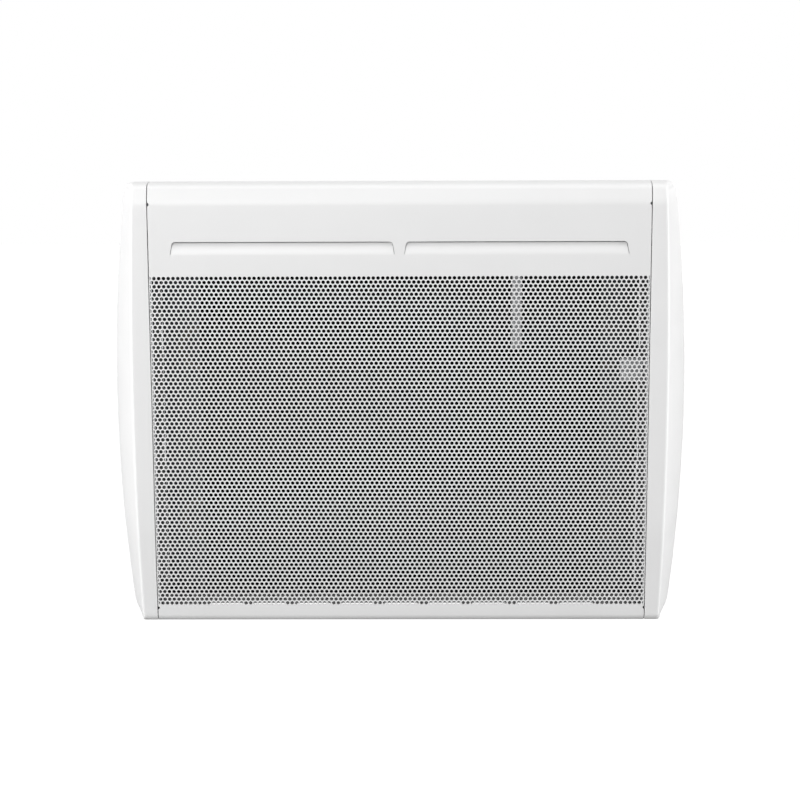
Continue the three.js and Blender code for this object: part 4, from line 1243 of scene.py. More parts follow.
def curve(start: Pair, control: Pair, end: Pair, steps: int) -> list[Pair]:
    """A quadratic curve.

    Args:
        start: Its first point.
        control: The point where its end tangents meet.
        end: Its last point.
        steps: Chords in it.

    Returns:
        Its points in order.
    """
    points = []
    for step in range(steps + 1):
        t = step / steps
        weights = ((1 - t) ** 2, 2 * t * (1 - t), t * t)
        points.append(tuple(sum(w * p[axis] for w, p in zip(weights, (start, control, end)))
                            for axis in (0, 1)))
    return points


# ---- Turned, drawn and cut pieces ----


class Axis(Enum):
    """The axis that a piece is turned about or drawn along."""

    X = 0
    DEPTH = 1
    Z = 2

    def point(self, along: float, first: float, second: float) -> Vector:
        """A point from its place along the axis and its two places across it.

        Args:
            along: Place along the axis.
            first: The first of x, depth and z that lies across.
            second: The second one.

        Returns:
            The point in the row frame.
        """
        places = [first, second]
        places.insert(self.value, along)
        return spot(*places)


@dataclass(frozen=True)
class Span:
    """Where a CAD node lies at rest, in millimetres."""

    x: Pair
    depth: Pair
    z: Pair

    @classmethod
    def of(cls, node: str) -> "Span":
        """The span of a node."""
        low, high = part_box(node)
        return cls((low.x / MM, high.x / MM), (-high.y / MM, -low.y / MM), (low.z / MM, high.z / MM))

    @property
    def centre(self) -> tuple[float, float, float]:
        """Middle of the span: x, depth and z."""
        return tuple(sum(pair) / 2 for pair in (self.x, self.depth, self.z))


def softened(points: Sequence[Pair], radius: float, steps: int = 3,
             closed: bool = False) -> list[Pair]:
    """Rounds the corners of an outline.

    Args:
        points: Corners in order.
        radius: How far from each corner its rounding starts.
        steps: Chords in each rounding.
        closed: Whether the last corner joins the first.

    Returns:
        The outline with round corners.
    """
    made: list[Pair] = []
    for index, corner in enumerate(points):
        if not closed and index in (0, len(points) - 1):
            made.append(corner)
            continue
        ends = []
        for other in (points[index - 1], points[(index + 1) % len(points)]):
            away = math.dist(corner, other)
            share = min(radius, away * ROUND_SHARE) / away
            ends.append((corner[0] + (other[0] - corner[0]) * share,
                         corner[1] + (other[1] - corner[1]) * share))
        made += curve(ends[0], corner, ends[1], steps)
    return made


def set_off(points: np.ndarray, distance: float, closed: bool = False) -> np.ndarray:
    """Moves a line to its right side.

    Args:
        points: Points of the line.
        distance: How far it moves, or less than zero for the left side.
        closed: Whether its last point joins the first.

    Returns:
        The new points.
    """
    ways = np.diff(points, axis=0, append=points[:1]) if closed else np.diff(points, axis=0)
    ways /= np.linalg.norm(ways, axis=1)[:, None]
    right = np.column_stack((ways[:, 1], -ways[:, 0]))
    before, after = np.roll(right, 1, axis=0), right
    if not closed:
        before, after = np.vstack((right[:1], right)), np.vstack((right, right[-1:]))
    share = distance / (1 + (before * after).sum(axis=1))
    return points + share[:, None] * (before + after)


def strip(line: Sequence[Pair], steel: float) -> list[Pair]:
    """Closed outline of bent sheet: one face of it, and its thickness to the right side."""
    points = np.array(line)
    return [tuple(place) for place in np.vstack((points, set_off(points, steel)[::-1]))]


def thinned(values: Iterable[float], least: float) -> list[float]:
    """Puts values in order and leaves out those that are too close to the one before.

    Args:
        values: The values.
        least: Least step between neighbours.

    Returns:
        The values that are left.
    """
    kept: list[float] = []
    for value in sorted(values):
        if not kept or value - kept[-1] > least:
            kept.append(value)
    return kept


def arc(centre: Pair, radius: float, turns: Pair, count: int, closed: bool = False) -> list[Pair]:
    """Points of an arc.

    Args:
        centre: Its centre.
        radius: Its radius.
        turns: The angles at which it starts and ends.
        count: How many points it has.
        closed: Leaves the end out, for a full circle.

    Returns:
        The points in order.
    """
    return [(centre[0] + radius * math.cos(turn), centre[1] + radius * math.sin(turn))
            for turn in np.linspace(*turns, count, endpoint=not closed)]


def rounded_rectangle(half_a: float, half_b: float, corner: float, centre: Pair = (0, 0),
                      steps: int = 5) -> list[Pair]:
    """Outline of a rectangle with round corners.

    Args:
        half_a: Half its first width.
        half_b: Half its second width.
        corner: Radius of its corners.
        centre: Its middle.
        steps: Chords in each corner.

    Returns:
        The points in order.
    """
    made = []
    for a, b, start in ((1, 1, 0), (-1, 1, 90), (-1, -1, 180), (1, -1, 270)):
        for step in range(steps + 1):
            angle = math.radians(start + 90 * step / steps)
            made.append((centre[0] + (a * (half_a - corner) + corner * math.cos(angle)),
                         centre[1] + (b * (half_b - corner) + corner * math.sin(angle))))
    return made


def turn_into(draft: MeshDraft, axis: Axis, centre: Pair, profile: Sequence[Pair],
              sides: int = 40, flute: Callable[[float, float], float] = lambda a, s: 0.0) -> None:
    """Adds a turned body.

    Args:
        draft: Where it goes.
        axis: The axis it is turned about.
        centre: The axis's two places across.
        profile: Radius and place pairs along the axis.
        sides: Sides of the circle.
        flute: Depth of fluting from the place along the axis and the angle.
    """
    rings = []
    for radius, along in profile:
        ring = []
        for side in range(sides):
            angle = math.tau * side / sides
            reach = max(0.0, radius - (flute(along, angle) if radius else 0.0))
            ring.append(draft.corner(axis.point(along, centre[0] + reach * math.cos(angle),
                                                centre[1] + reach * math.sin(angle))))
        rings.append(ring)
    join_rings(draft, rings)


def join_rings(draft: MeshDraft, rings: Sequence[Sequence[int]], capped: bool = False) -> None:
    """Adds the faces between rings of corners.

    Args:
        draft: Where they go.
        rings: Corner numbers of each ring.
        capped: Closes the first and the last ring as well.
    """
    for low, high in zip(rings, rings[1:]):
        for side in range(len(low)):
            there = (side + 1) % len(low)
            draft.face((low[side], low[there], high[there], high[side]))
    for ring in (rings[0], rings[-1]) if capped else ():
        draft.face(ring)


def draw_into(draft: MeshDraft, axis: Axis, outline: Sequence[Pair], start: float, end: float) -> None:
    """Adds a body with one outline all along an axis.

    Args:
        draft: Where it goes.
        axis: The axis.
        outline: Places across the axis.
        start: Where it starts along the axis.
        end: Where it ends.
    """
    join_rings(draft, [[draft.corner(axis.point(along, *place)) for place in outline]
                       for along in (start, end)], capped=True)


def drawn(name: str, axis: Axis, outline: Sequence[Pair], reach: Pair) -> Piece:
    """A piece with one outline all along an axis.

    Args:
        name: Name of the piece.
        axis: The axis.
        outline: Places across the axis.
        reach: Where it starts and ends along the axis.

    Returns:
        The new piece.
    """
    draft = MeshDraft()
    draw_into(draft, axis, outline, *reach)
    return draft.build(name)


def plinth_into(draft: MeshDraft, axis: Axis, centre: Pair, halves: Pair, corner: float,
                reach: Pair, edge: float, steps: int = 4) -> None:
    """Adds a block with round corners and a rounded far edge.

    Args:
        draft: Where it goes.
        axis: The axis it stands along.
        centre: Its two places across.
        halves: Half its two widths.
        corner: Radius of its corners.
        reach: Where it starts and ends along the axis.
        edge: Radius of its far edge.
        steps: Chords of the edge.
    """
    start, end = reach
    way = math.copysign(1.0, end - start)
    levels = [(0.0, start)]
    for step in range(steps + 1):
        angle = math.pi / 2 * step / steps
        levels.append((edge * (1 - math.cos(angle)), end - way * edge * (1 - math.sin(angle))))
    rings = []
    for inset, along in levels:
        outline = rounded_rectangle(halves[0] - inset, halves[1] - inset,
                                    max(corner - inset, edge * 0.2), centre)
        rings.append([draft.corner(axis.point(along, *place)) for place in outline])
    join_rings(draft, rings, capped=True)


def sweep_into(draft: MeshDraft, points: Sequence[Vector], radius: float, sides: int = 16) -> None:
    """Adds a round tube, closed at both ends.

    Args:
        draft: Where it goes.
        points: Points of the row frame that it follows.
        radius: Its radius.
        sides: Sides of its circle.
    """
    normal = (points[1] - points[0]).orthogonal().normalized()
    rings = []
    for index, point in enumerate(points):
        before, after = points[max(index - 1, 0)], points[min(index + 1, len(points) - 1)]
        tangent = (after - before).normalized()
        normal = (normal - tangent * normal.dot(tangent)).normalized()
        side = tangent.cross(normal)
        ring = []
        for step in range(sides):
            angle = math.tau * step / sides
            ring.append(draft.corner(
                point + (normal * math.cos(angle) + side * math.sin(angle)) * radius * MM))
        rings.append(ring)
    join_rings(draft, rings, capped=True)


def route(corners: Sequence[Vector], radius: float, steps: int = 8) -> list[Vector]:
    """Rounds the corners of a route of straight runs.

    Args:
        corners: Its ends and corners.
        radius: How far from each corner its rounding starts.
        steps: Chords in each rounding.

    Returns:
        Points along the route.
    """
    made = [corners[0]]
    for before, corner, after in zip(corners, corners[1:], corners[2:]):
        enter = corner + (before - corner).normalized() * radius * MM
        leave = corner + (after - corner).normalized() * radius * MM
        for step in range(steps + 1):
            t = step / steps
            made.append(enter * (1 - t) ** 2 + corner * (2 * t * (1 - t)) + leave * t * t)
    return [*made, corners[-1]]


def cut(piece: Piece, draft: MeshDraft, smooth_angle: float = 35.0) -> Piece:
    """Cuts drafted bodies out of a piece.

    Args:
        piece: The piece.
        draft: The bodies to cut away.
        smooth_angle: Edges sharper than this many degrees stay crisp.

    Returns:
        The piece with its new mesh.
    """
    tool = draft.build("cutter")
    step = piece.modifiers.new("cut", "BOOLEAN")
    step.operation, step.solver, step.object = "DIFFERENCE", "EXACT", tool
    graph = bpy.context.evaluated_depsgraph_get()
    mesh = bpy.data.meshes.new_from_object(piece.evaluated_get(graph))
    piece.modifiers.clear()
    shade(mesh, smooth_angle)
    mesh.name = piece.name
    piece.data = mesh
    bpy.data.objects.remove(tool)
    return piece


def edged(piece: Piece, width: float, segments: int = 2, angle: float = 40.0) -> Piece:
    """Softens the edges of a piece with a bevel.

    Args:
        piece: The piece.
        width: Width of the bevel.
        segments: Chords in it.
        angle: Edges sharper than this many degrees get it.

    Returns:
        The piece.
    """
    step = piece.modifiers.new("edges", "BEVEL")
    step.width, step.segments = width * MM, segments
    step.limit_method, step.angle_limit = "ANGLE", math.radians(angle)
    step.harden_normals = False
    return piece


# ---- Fasteners ----


@dataclass
class Turning(SubAssembly):
    """A turned piece that stands for one CAD node and is centred on it."""

    name: str
    node: str
    finish: Finish
    axis: Axis
    profile: tuple[Pair, ...]
    soft: float = 0.3

    def build(self) -> Piece:
        """Makes and dresses the piece, with its profile from the node's first end."""
        span = Span.of(self.node)
        centre = list(span.centre)
        del centre[self.axis.value]
        start = (span.x, span.depth, span.z)[self.axis.value][0]
        profile = [(radius, start + along) for radius, along in self.profile]
        looped = profile[0] == profile[-1]
        shape = softened(profile[:-1] if looped else profile, self.soft, closed=looped)
        if looped:
            shape.append(shape[0])
        draft = MeshDraft()
        turn_into(draft, self.axis, centre, shape)
        piece = draft.build(self.name)
        return self.present(piece, self.finish, self.node)


@dataclass
class Fasteners(SubAssembly):
    """Screws, studs, pins, stops, pillars, the gland and the thermal cut-out."""

    screw: tuple[Pair, ...] = ((0, 0), (2.2, 0.0), (2.8, 0.35), (3.5, 1.1), (3.5, 2), (1.8, 2),
                               (1.8, 11), (0, 11))
    cross_width: float = 1.0
    cross_length: float = 4.0
    cross_depth: float = 1.1
    stud: tuple[Pair, ...] = ((0, 0), (1.5, 0), (3, 2), (3, 4), (2, 4), (2, 9.6), (5, 9.6),
                              (5, 11.6), (0, 11.6))
    pin: tuple[Pair, ...] = ((0, 0), (4, 0), (4, 1), (2.5, 1), (2.5, 10.1), (4, 10.1), (4, 11.1),
                             (0, 11.1))
    stop: tuple[Pair, ...] = ((0, 0), (5, 0), (6, 1), (6, 14.4), (0, 14.4))
    pillar: tuple[Pair, ...] = ((0, 0), (7, 0), (7, 3), (5, 3), (5, 18.4), (3, 18.4), (3, 39.1),
                                (0, 39.1))
    gland: tuple[Pair, ...] = ((3.5, 0), (6, 0), (7, 4), (10, 4), (10, 6), (7, 6), (7, 7.6),
                               (10, 7.6), (10, 11.6), (3.5, 11.6), (3.5, 0))
    cap: tuple[Pair, ...] = ((0, 0), (5.5, 0), (5.5, 3), (8, 3), (8, 10), (0, 10))

    def build(self) -> None:
        """Makes every turned fastener and fitting."""
        for side in SIDES:
            for end in ("upper", "lower"):
                self._screw(f"{side}_{end}_cheek_screw")
                self._turn(f"{side}_{end}_pillar", f"{side}_{end}_emitter_pillar", ZINC, self.pillar)
            self._turn(f"{side}_stud", f"{side}_latch_stud", BRIGHT, self.stud)
            Turning(self.finishes, f"{side}_pin", f"{side}_pivot_pin", BRIGHT, Axis.X,
                    self.pin).build()
            self._turn(f"{side}_stop_pad", f"{side}_rear_stop", RUBBER, self.stop, 0.6)
        self._turn("gland_body", "cable_gland", BLACK_MOULDING, self.gland, 0.5)
        self._turn("cutout_body", "thermal_cutout", BLACK_MOULDING, self.cap, 0.4)

    def _turn(self, name: str, node: str, finish: Finish, profile: tuple[Pair, ...],
              *soft: float) -> Piece:
        """A piece turned about the depth axis."""
        return Turning(self.finishes, name, node, finish, Axis.DEPTH, profile, *soft).build()

    def _screw(self, node: str) -> None:
        """A pan-head screw with a cross recess.

        Args:
            node: The CAD node that it stands for.
        """
        piece = self._turn(f"{node}_body", node, BRIGHT, self.screw, 0.4)
        span = Span.of(node)
        x, _, z = span.centre
        long, short = self.cross_length / 2, self.cross_width / 2
        quarter = ((long, -short), (long, short), (short, short))
        outline = []
        for _ in range(4):
            outline += [(x + a, z + b) for a, b in quarter]
            quarter = tuple((-b, a) for a, b in quarter)
        tools = MeshDraft()
        draw_into(tools, Axis.DEPTH, outline, span.depth[0] - 1, span.depth[0] + self.cross_depth)
        cut(piece, tools)


# ---- Wall bracket ----


@dataclass
class WallBracket(SubAssembly):
    """The ladder bracket on the wall: channels, hooks and spring clips."""

    steel: float = 1.5
    bend: float = 2.0
    key_radius: float = 5.0
    key_slot: float = 2.5
    key_run: float = 12.0
    key_inset: float = 50.0
    pin_radius: float = 2.8
    hook_lip: float = 3.0
    hook_rise: float = 3.2
    hook_tail: float = 14.0
    clip_steel: float = 0.8
    clip_gap: float = 3.3
    clip_flare: float = 3.0
    clip_neck: float = 7.2
    clip_belly: float = 3.0
    clip_round: float = 1.2
    hook_edge: float = 0.2
    past: float = 2.0

    def build(self) -> None:
        """Makes every piece of the bracket."""
        for side in SIDES:
            self._upright(side)
            self._hook(side)
            self._clip(side)
        for place in ("top", "middle", "bottom"):
            self._rail(place)

    def _channel(self, width: float, reach: float) -> list[Pair]:
        """Outline of a channel of a width, open behind, about its middle.

        Args:
            width: Outer width.
            reach: Depth of its flanges.

        Returns:
            Points across and out from the open side.
        """
        leg = Run(reach - self.bend)
        line = trace((-width / 2, 0), 90, [leg, Bend(self.bend, -90), Run(width - 2 * self.bend),
                                           Bend(self.bend, -90), leg], 12)
        return strip(line, self.steel)

    def _upright(self, side: str) -> None:
        """A vertical channel, open towards the wall.

        Args:
            side: Left or right.
        """
        span = Span.of(f"{side}_upright")
        outline = [(span.centre[0] + a, b)
                   for a, b in self._channel(span.x[1] - span.x[0], span.depth[1])]
        channel = drawn(f"{side}_upright_channel", Axis.Z, outline, span.z)
        self.present(channel, ZINC, f"{side}_upright", body="wall_bracket")

    def _rail(self, place: str) -> None:
        """A level channel, open towards the room, with keyholes where it is screwed on.

        Args:
            place: Top, middle or bottom.
        """
        span = Span.of(f"{place}_rail")
        depth, middle = span.depth[1], span.centre[2]
        outline = [(depth - b, middle + a) for a, b in self._channel(span.z[1] - span.z[0], depth)]
        piece = drawn(f"{place}_rail_channel", Axis.X, outline, span.x)
        if place != "middle":
            tools = MeshDraft()
            opening = math.asin(self.key_slot / self.key_radius)
            for side, inset in zip(SIDES, (self.key_inset, -self.key_inset)):
                x = Span.of(f"{side}_hook").centre[0] + inset
                eye = arc((x, middle), self.key_radius,
                          (math.pi / 2 + opening, math.pi * 2.5 - opening), 28)
                end = arc((x, middle + self.key_run - self.key_slot), self.key_slot, (0, math.pi), 12)
                draw_into(tools, Axis.DEPTH, [*eye, *end], -self.past, self.steel + self.past)
            cut(piece, tools)
        self.present(piece, ZINC, f"{place}_rail", body="wall_bracket")

    def _hook(self, side: str) -> None:
        """A flat hook whose notch carries the pivot pin.

        Args:
            side: Left or right.
        """
        span = Span.of(f"{side}_hook")
        _, depth, z = Span.of(f"{side}_pivot_pin").centre
        notch, outer = self.pin_radius, self.pin_radius + self.hook_lip
        rear = span.depth[0] - depth
        bottom = trace((outer, 0), -90, [Bend(outer, -90)], 9)
        cradle = trace((-notch, 0), -90, [Bend(notch, 180)], 12)
        outline = [(outer, self.hook_rise), *bottom, (rear, -outer), (rear, self.hook_tail),
                   (-notch, self.hook_tail), *cradle, (notch, self.hook_rise)]
        plate = drawn(f"{side}_hook_plate", Axis.X, [(depth + a, z + b) for a, b in outline], span.x)
        self.present(edged(plate, self.hook_edge), ZINC, f"{side}_hook", body="wall_bracket")

    def _clip(self, side: str) -> None:
        """A bent spring clip that grips the latch stud.

        Args:
            side: Left or right.
        """
        span = Span.of(f"{side}_spring_clip")
        floor, tip = span.depth[0] + self.clip_steel, span.depth[1]
        gap, neck = self.clip_gap, span.depth[0] + self.clip_neck
        half = [(gap + self.clip_flare, tip), (gap, neck),
                (gap + self.clip_belly, floor + self.clip_belly), (gap + self.clip_belly, floor)]
        line = softened([*half, *[(-a, b) for a, b in half[::-1]]], self.clip_round, 4)
        outline = [(span.centre[0] + a, b) for a, b in strip(line, -self.clip_steel)]
        spring = drawn(f"{side}_clip_spring", Axis.Z, outline, span.z)
        self.present(spring, BRIGHT, f"{side}_spring_clip", body="wall_bracket")


# ---- Back panel ----


@dataclass
class BackPanel(SubAssembly):
    """The pressed back of the case: two beads, slots in its foot and lugs for the pivots."""

    case: CaseSize
    lap: float = 6.0
    corner: float = 4.0
    bead_flat: float = 8.0
    bead_slant: float = 6.0
    bead_angle: float = 45.0
    bead_spacing: float = 120.0926
    vent_length: float = 36.0
    vent_width: float = 9.0
    vent_spacing: float = 46.0
    vent_count: int = 9
    vent_depth: float = 62.0
    console_rim: float = 2.0
    console_sink: float = 13.0
    gland_radius: float = 7.3
    lug_start: float = 2.25
    lug_steel: float = 2.0
    lug_radius: float = 5.0
    eye_radius: float = 2.8
    past: float = 2.0
    vent_reach: float = 14.0
    console_past: float = 6.0
    steel_past: float = 3.0

    def build(self) -> None:
        """Makes the panel and its lugs."""
        sheet = drawn("back_panel_sheet", Axis.X, strip(self._profile(), -self.case.steel),
                      Span.of("back_panel").x)
        self.present(cut(sheet, self._openings()), POWDER_COAT, "back_panel")
        for side in SIDES:
            self._lugs(side)

    def _profile(self) -> list[Pair]:
        """The panel's outer face seen from the side, from its top edge to its bottom one."""
        case, line = self.case, SheetLine(self.case)
        rise = math.radians(case.crown_rear_angle)
        fall = math.radians(case.hem_rise_angle)
        crown, hem = line.points[0], line.points[-1]
        inset = case.steel + case.fit
        start_depth, end_depth = crown[0] + self.lap, hem[0] + self.lap
        top = crown[1] + self.lap * math.tan(rise) - inset / math.cos(rise)
        bottom = hem[1] - self.lap * math.tan(fall) + inset / math.cos(fall)
        corners = [Bend(self.corner, 90 - case.crown_rear_angle),
                   Bend(self.corner, 90 - case.hem_rise_angle)]
        bead = [Bend(self.bead_flat, self.bead_angle), Run(self.bead_slant),
                Bend(self.bead_flat, -self.bead_angle), Run(self.bead_flat),
                Bend(self.bead_flat, -self.bead_angle), Run(self.bead_slant),
                Bend(self.bead_flat, self.bead_angle)]
        heading = 180 + case.crown_rear_angle
        top_reach = -trace((0, 0), heading, [corners[0]])[-1][0]
        top_run = Run((start_depth - case.rear_depth - top_reach) / math.cos(rise))
        low_reach = trace((0, 0), -90, [corners[1]])[-1][0]
        low_run = Run((end_depth - case.rear_depth - low_reach) / math.cos(fall))
        bead_drop = -trace((0, 0), -90, bead)[-1][1]
        wall_top = trace((start_depth, top), heading, [top_run, corners[0]])[-1][1]
        wall_drop = wall_top - bottom + trace((0, 0), -90, [corners[1], low_run])[-1][1]
        wall_end = Run((wall_drop - self.bead_spacing - bead_drop) / 2)
        return trace((start_depth, top), heading,
                     [top_run, corners[0], wall_end, *bead, Run(self.bead_spacing - bead_drop),
                      *bead, wall_end, corners[1], low_run], 6)

    def _openings(self) -> MeshDraft:
        """Slots in the foot, the opening for the control unit and the cable's hole."""
        tools = MeshDraft()
        floor = -self.case.half_height
        for vent in range(self.vent_count):
            x = (vent - (self.vent_count - 1) / 2) * self.vent_spacing
            outline = rounded_rectangle(self.vent_length / 2, self.vent_width / 2,
                                        self.vent_width / 2 - 0.01, (x, self.vent_depth))
            draw_into(tools, Axis.Z, outline, floor, floor + self.vent_reach)
        console = Span.of("control_housing")
        half = [(pair[1] - pair[0]) / 2 - self.console_rim for pair in (console.x, console.depth)]
        draw_into(tools, Axis.Z, rounded_rectangle(*half, 1.0, console.centre[:2]),
                  console.z[1] - self.console_sink - self.console_past,
                  self.case.half_height + self.past)
        x, _, z = Span.of("cable_gland").centre
        rear = self.case.rear_depth
        draw_into(tools, Axis.DEPTH, arc((x, z), self.gland_radius, (0, math.tau), 36, closed=True),
                  rear - self.past, rear + self.steel_past)
        return tools

    def _lugs(self, side: str) -> None:
        """The two eyes that hold a pivot pin beside its hook.

        Args:
            side: Left or right.
        """
        x, *centre = Span.of(f"{side}_pivot_pin").centre
        rear, radius = self.case.rear_depth, self.lug_radius
        outline = [*arc(centre, radius, (-math.pi / 2, -math.pi * 1.5), 20),
                   (rear, centre[1] + radius), (rear, centre[1] - radius)]
        draft, tools = MeshDraft(), MeshDraft()
        for way in (-1, 1):
            near, far = (x + way * gap for gap in (self.lug_start, self.lug_start + self.lug_steel))
            draw_into(draft, Axis.X, outline, near, far)
        draw_into(tools, Axis.X, arc(centre, self.eye_radius, (0, math.tau), 24, closed=True),
                  x - self.lug_start - self.steel_past, x + self.lug_start + self.steel_past)
        self.present(cut(draft.build(f"{side}_pivot_lugs"), tools), POWDER_COAT)


# ---- Emitter and what stands around it ----


@dataclass
class Interior(SubAssembly):
    """The ribbed emitter, its elements and leads, and the bent plates above it."""

    emitter_depth: float = 71.968
    emitter_steel: float = 1.2
    emitter_edge: float = 8.0
    emitter_corner: float = 3.0
    groove_fillet: float = 3.0
    groove_angle: float = 60.0
    tube_radius: float = 4.0
    fit: float = 0.3
    rib_radius: float = 5.0
    rib_angle: float = 32.0
    hairpin_spacing: float = 40.0
    element_spacing: float = 180.2
    edge_run: float = 16.1702
    terminal_radius: float = 1.5
    terminal_length: float = 9.0
    deflector_depth: float = 84.008
    deflector_rise: float = 52.0
    deflector_trim: float = 1.2
    deflector_steel: float = 1.0
    deflector_radius: float = 20.0
    deflector_lip_angle: float = 20.0
    stay_steel: float = 1.2
    bracket_steel: float = 1.0
    bend: float = 2.0
    lead_radius: float = 1.6
    lead_bend: float = 4.0
    lead_setback: float = 14.0

    def build(self) -> None:
        """Makes every piece of the interior that shows."""
        self._emitter()
        for end in ("upper", "lower"):
            self._element(end)
        self._deflector()
        self._stay()
        self._bracket()
        self._leads()

    def _emitter(self) -> None:
        """The plate with a groove for each run of the elements and ribs between them."""
        radius = self.tube_radius + self.fit + self.emitter_steel
        groove = [Bend(self.groove_fillet, self.groove_angle), Bend(radius, -2 * self.groove_angle),
                  Bend(self.groove_fillet, self.groove_angle)]
        rib = [Bend(self.rib_radius, self.rib_angle), Bend(self.rib_radius, -2 * self.rib_angle),
               Bend(self.rib_radius, self.rib_angle)]
        groove_drop, rib_drop = (-trace((0, 0), -90, moves)[-1][1] for moves in (groove, rib))
        pair = [*groove, Run(self.hairpin_spacing - groove_drop), *groove]
        free = self.element_spacing - self.hairpin_spacing - groove_drop - 2 * rib_drop
        between, edge = Run(free / 3), Run(self.edge_run)
        ends = [Run(self.emitter_edge), Bend(self.emitter_corner, -90)]
        line = np.array(trace((0, 0), 0, [
            *ends, edge, *rib, edge, *pair, between, *rib, between, *rib, between, *pair, edge,
            *rib, edge, *ends[::-1]], 7))
        span = Span.of("emitter_plate")
        line[:, 0] += self.emitter_depth - self.emitter_edge - self.emitter_corner
        line[:, 1] += span.centre[2] - (line[:, 1].max() + line[:, 1].min()) / 2
        plate = drawn("emitter_profile", Axis.X, strip(line, self.emitter_steel), span.x)
        self.present(plate, EMITTER, "emitter_plate")

    def _element(self, end: str) -> None:
        """A sheathed hairpin with a terminal pin at each end.

        Args:
            end: Upper or lower.
        """
        span = Span.of(f"{end}_element")
        _, depth, middle = span.centre
        half = self.hairpin_spacing / 2
        left = span.x[0] + half + self.tube_radius
        right = span.x[1] - self.terminal_length
        bend = [spot(x, depth, z)
                for x, z in arc((left, middle), half, (math.pi / 2, math.pi * 1.5), 17)]
        draft = MeshDraft()
        sweep_into(draft, [spot(right, depth, middle + half), *bend,
                           spot(right, depth, middle - half)], self.tube_radius)
        for way in (-1, 1):
            turn_into(draft, Axis.X, (depth, middle + way * half),
                      [(0, right - 1), (self.terminal_radius, right - 1),
                       (self.terminal_radius, span.x[1]), (0, span.x[1])], 12)
        self.present(draft.build(f"{end}_hairpin"), ELEMENT, f"{end}_element")

    def _deflector(self) -> None:
        """The bent plate that turns the warm air out through the louvres."""
        span = Span.of("air_deflector")
        turn = Bend(self.deflector_radius, self.deflector_lip_angle - 90)
        start = (self.deflector_depth, span.z[0] + self.deflector_trim)
        moves = [Run(self.deflector_rise - self.deflector_trim), turn]
        reach = span.depth[1] - trace(start, 90, moves)[-1][0]
        lip = Run(reach / math.cos(math.radians(self.deflector_lip_angle)))
        plate = drawn("deflector_plate", Axis.X,
                      strip(trace(start, 90, [*moves, lip], 7), self.deflector_steel), span.x)
        self.present(plate, ALUMINISED, "air_deflector")

    def _stay(self) -> None:
        """The narrow angle between the emitter and the deflector."""
        span = Span.of("emitter_stay")
        line = trace((span.depth[1], span.z[1]), -90,
                     [Run(span.z[1] - span.z[0] - self.bend), Bend(self.bend, -90),
                      Run(span.depth[1] - span.depth[0] - self.bend)], 15)
        angle = drawn("stay_angle", Axis.X, strip(line, self.stay_steel), span.x)
        self.present(angle, ZINC, "emitter_stay")

    def _bracket(self) -> None:
        """The angle that carries the thermal cut-out."""
        span = Span.of("cutout_bracket")
        line = trace((span.x[1], span.depth[0]), 90,
                     [Run(span.depth[1] - span.depth[0] - self.bend), Bend(self.bend, 90),
                      Run(span.x[1] - span.x[0] - self.bend)], 15)
        angle = drawn("cutout_angle", Axis.Z, strip(line, -self.bracket_steel), span.z)
        self.present(angle, ZINC, "cutout_bracket")

    def _leads(self) -> None:
        """The two element leads and the link between the elements."""
        upper, lower = (Span.of(f"{end}_element") for end in ("upper", "lower"))
        depth = upper.centre[1]
        half = self.hairpin_spacing / 2
        start_x = upper.x[1] + self.fit
        for name, node, height in (("supply_sleeve", "supply_lead", upper.centre[2] + half),
                                   ("return_sleeve", "return_lead", lower.centre[2] - half)):
            span = Span.of(node)
            x = span.x[1] - self.lead_radius
            back = self.emitter_depth - self.lead_setback
            corners = [spot(x, back, span.z[1]), spot(x, back, height), spot(x, depth, height),
                       spot(start_x, depth, height)]
            self._sleeve(name, node, corners)
        x = Span.of("element_link").x[1] - self.lead_radius
        corners = [spot(start_x, depth, upper.centre[2] - half),
                   spot(x, depth, upper.centre[2] - half), spot(x, depth, lower.centre[2] + half),
                   spot(start_x, depth, lower.centre[2] + half)]
        self._sleeve("link_sleeve", "element_link", corners)

    def _sleeve(self, name: str, node: str, corners: list[Vector]) -> None:
        """A sleeved lead along a route.

        Args:
            name: Name of the piece.
            node: The CAD node that it stands for.
            corners: Ends and corners of the route.
        """
        draft = MeshDraft()
        sweep_into(draft, route(corners, self.lead_bend), self.lead_radius)
        self.present(draft.build(name), SLEEVE, node)


# ---- Control unit ----


